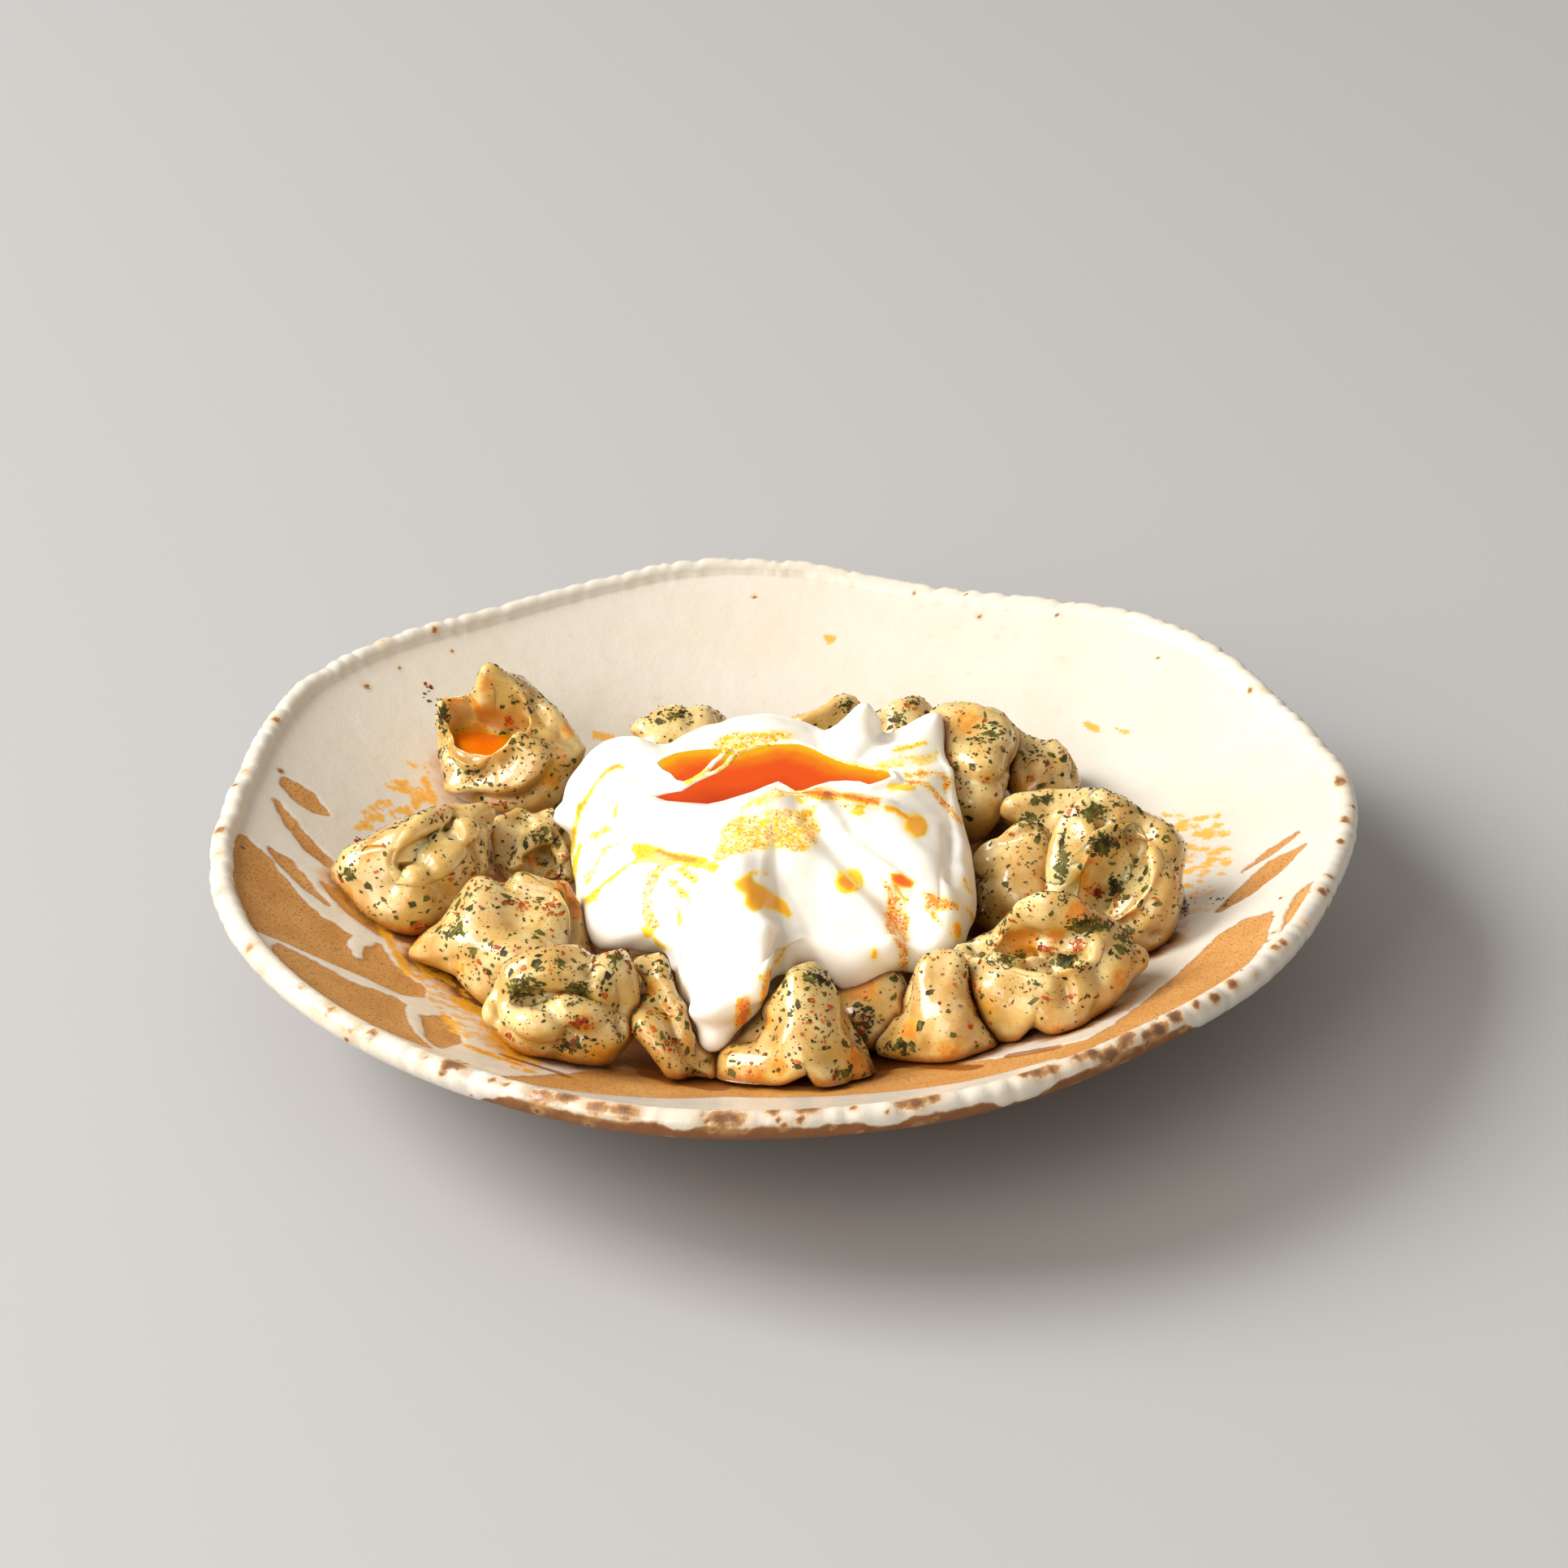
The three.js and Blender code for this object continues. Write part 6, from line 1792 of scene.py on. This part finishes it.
def scatter_places(surfaces, count, rng):
    """Random places on the upper sides of some surfaces, spread evenly over their area."""
    corners = []
    for points, faces in surfaces:
        quads = np.array([f for f in faces if len(f) == 4])
        corners.append(points[quads])
    corners = np.concatenate(corners)
    normal = np.cross(corners[:, 2] - corners[:, 0], corners[:, 3] - corners[:, 1])
    area = np.linalg.norm(normal, axis=1)
    facing = normal[:, 2] / np.maximum(area, 1e-9)
    thick = smooth(noise(corners[:, 0], 11, 8) + 0.5)  # they lie thickly in some places
    weight = area * smooth((facing + 0.35) / 0.8) * (0.25 + thick)
    chosen = rng.choice(len(corners), count, p=weight / weight.sum())
    s, t = rng.random((2, count, 1))
    a, b, c, d = (corners[chosen, k] for k in range(4))
    return mix(mix(a, b, s), mix(d, c, s), t)


def clump_places(trees, clumps, rng):
    """Random places in clumps, where the camera sees a surface."""
    places = []
    for (px, py), (sx, sy), count in clumps:
        for _ in range(round(count * CLUMP_SHARE)):
            pixel = (rng.normal(px, sx * 0.6), rng.normal(py, sy * 0.6))
            hit = nearest_seen(trees, pixel)
            if hit is not None:
                places.append(hit[1])
    return np.array(places).reshape(-1, 3)


def make_flakes(name, places, sizes, thick, material, surface_tree, yoghurt_tree, rng):
    """Thin uneven leaves that lie on a surface, as one mesh. None lies against the yoghurt."""
    all_points, all_faces = [], []
    for place, (length, width) in zip(places, sizes):
        hit, normal, _, _ = surface_tree.find_nearest(Vector(place))
        if yoghurt_tree.find_nearest(hit, YOGHURT_CLEAR)[0] is not None:
            continue
        normal = np.array(normal)
        turn = rng.uniform(0, TAU)
        across = unit(np.cross(normal, [math.cos(turn), math.sin(turn), 0.3]))
        along = np.cross(across, normal)
        angles = np.sort(rng.uniform(0, TAU, FLAKE_CORNERS)) * CORNER_SHIFT
        angles = angles + np.linspace(0, TAU, FLAKE_CORNERS, endpoint=False) * CORNER_SPACING
        reach = rng.uniform(*FLAKE_REACH, FLAKE_CORNERS)
        ring = np.array(hit) + np.outer(np.cos(angles) * reach * length / 2, along)
        ring = ring + np.outer(np.sin(angles) * reach * width / 2, across)
        lower = np.array([surface_tree.find_nearest(Vector(corner))[0] for corner in ring])
        curl = rng.uniform(*FLAKE_CURLS, (FLAKE_CORNERS, 1)) * thick
        first = len(all_points) * 2 * FLAKE_CORNERS
        all_points.append(np.vstack([lower - normal * FLAKE_SUNK, lower + normal * curl]))
        ids = list(range(first, first + FLAKE_CORNERS))
        tops = [k + FLAKE_CORNERS for k in ids]
        all_faces.append(ids[::-1])
        all_faces.append(tops)
        for k in range(FLAKE_CORNERS):
            n = (k + 1) % FLAKE_CORNERS
            all_faces.append([ids[k], ids[n], tops[n], tops[k]])
    piece = make_mesh(name, np.vstack(all_points), all_faces, material)
    for polygon in piece.data.polygons:
        polygon.use_smooth = False
    dress(piece, "dough")


# ---- assembly ---------------------------------------------------------------------------------
def dress(piece, slot, *nodes):
    """Hangs a piece on the root and hides the parts that it stands for. The slot is not used."""
    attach(piece, "root")
    if nodes:
        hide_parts(*nodes)


def joined(surfaces):
    """Several surfaces as one list of points and faces."""
    points, faces, first = [], [], 0
    for some_points, some_faces in surfaces:
        points.append(some_points)
        faces.extend([[k + first for k in face] for face in some_faces])
        first += len(some_points)
    return np.vstack(points), faces


def flake_sizes(rng, count, kind):
    """Length and width of each flake of a kind."""
    length = rng.uniform(*kind["small"], count) * rng.uniform(0.7, 1.0, count)
    large = length[::kind["large_each"]]
    large[:] = rng.uniform(*kind["large"], len(large))
    width = length * rng.uniform(kind["slim"], 0.9, count)
    return np.column_stack([length, np.maximum(width, FLAKE_NARROWEST)])


FLOOR_HALF = 3000
WORLD_COLOUR = (1.0, 0.93, 0.85, 1)
WORLD_STRENGTH = 0.48
# Where each light stands as a flat direction, how high in degrees, how far off and how large in mm,
# its power in watts and its colour.
LIGHTS = {
    "key": ((-0.99, 0.12), 39, 3200, 1700, 142, (0.98, 0.99, 1.0)),
    "fill": ((-0.65, -0.75), 32, 1700, 1000, 17, (1.0, 0.94, 0.87)),
}


def make_floor():
    """Makes the floor of the stage."""
    corners = [(-1, -1, 0), (1, -1, 0), (1, 1, 0), (-1, 1, 0)]
    points = np.array(corners) * FLOOR_HALF
    look = Look("studio_paper")
    look.set(Base_Color=FLOOR_GREY, Roughness=0.9)
    floor = make_mesh("floor", points, [[0, 1, 2, 3]], look.material)


def area_light(name, towards, elevation, distance, size, power, colour):
    """A square soft light that faces the food."""
    raised = math.radians(elevation)
    flat = unit(np.array([*towards, 0.0])) * math.cos(raised)
    place = (flat + np.array([0, 0, math.sin(raised)])) * distance
    data = bpy.data.lights.new(name, "AREA")
    data.shape = "SQUARE"
    data.size = size * MM
    data.energy = power
    data.color = colour
    light = bpy.data.objects.new(name, data)
    light.location = Vector(place) * MM
    light.rotation_euler = (-Vector(place)).to_track_quat("-Z", "Y").to_euler()
    bpy.context.scene.collection.objects.link(light)


def make_lights():
    """Makes the even light from all round, the key light and a weaker fill."""
    world = bpy.data.worlds.new("studio")
    world.use_nodes = True
    background = world.node_tree.nodes["Background"]
    background.inputs["Color"].default_value = WORLD_COLOUR
    background.inputs["Strength"].default_value = WORLD_STRENGTH
    bpy.context.scene.world = world
    for name, settings in LIGHTS.items():
        area_light(name, *settings)
    bpy.context.scene.view_settings.view_transform = "Standard"


def make_food():
    """Makes the plate and everything on it."""
    shapes = shape_dumplings()
    plate = make_plate(tree_of(*joined([surface[:2] for surface in shapes])))
    yoghurt = shape_yoghurt()
    yoghurt_tree = tree_of(*yoghurt)
    make_dumplings(shapes, yoghurt_tree)
    make_yoghurt(*yoghurt)
    surfaces = [(points, faces) for points, faces, _ in shapes]
    make_oil(tree_of(*surfaces[OIL_HOLDER - 1]))

    shown = surfaces[:-CARRIERS]
    rng = np.random.default_rng(2)
    trees = [tree_of(*surface) for surface in shown] + [tree_of(*plate)]
    everything = tree_of(*joined([*shown, plate]))
    green = flake_look("dried_herb", HERB_GREENS, 2.0, 0.6)
    red = flake_look("chilli_flake", CHILLI_REDS, 1.5, 0.4)
    for kind, material in zip(FLAKES, (green, green, red)):
        clumped = clump_places(trees, kind["clumps"], rng)
        places = np.vstack([clumped, scatter_places(shown, kind["scattered"], rng)])
        sizes = flake_sizes(rng, len(places), kind)
        make_flakes(kind["name"], places, sizes, kind["curl"], material, everything, yoghurt_tree, rng)


make_camera()
make_lights()
make_floor()
make_food()
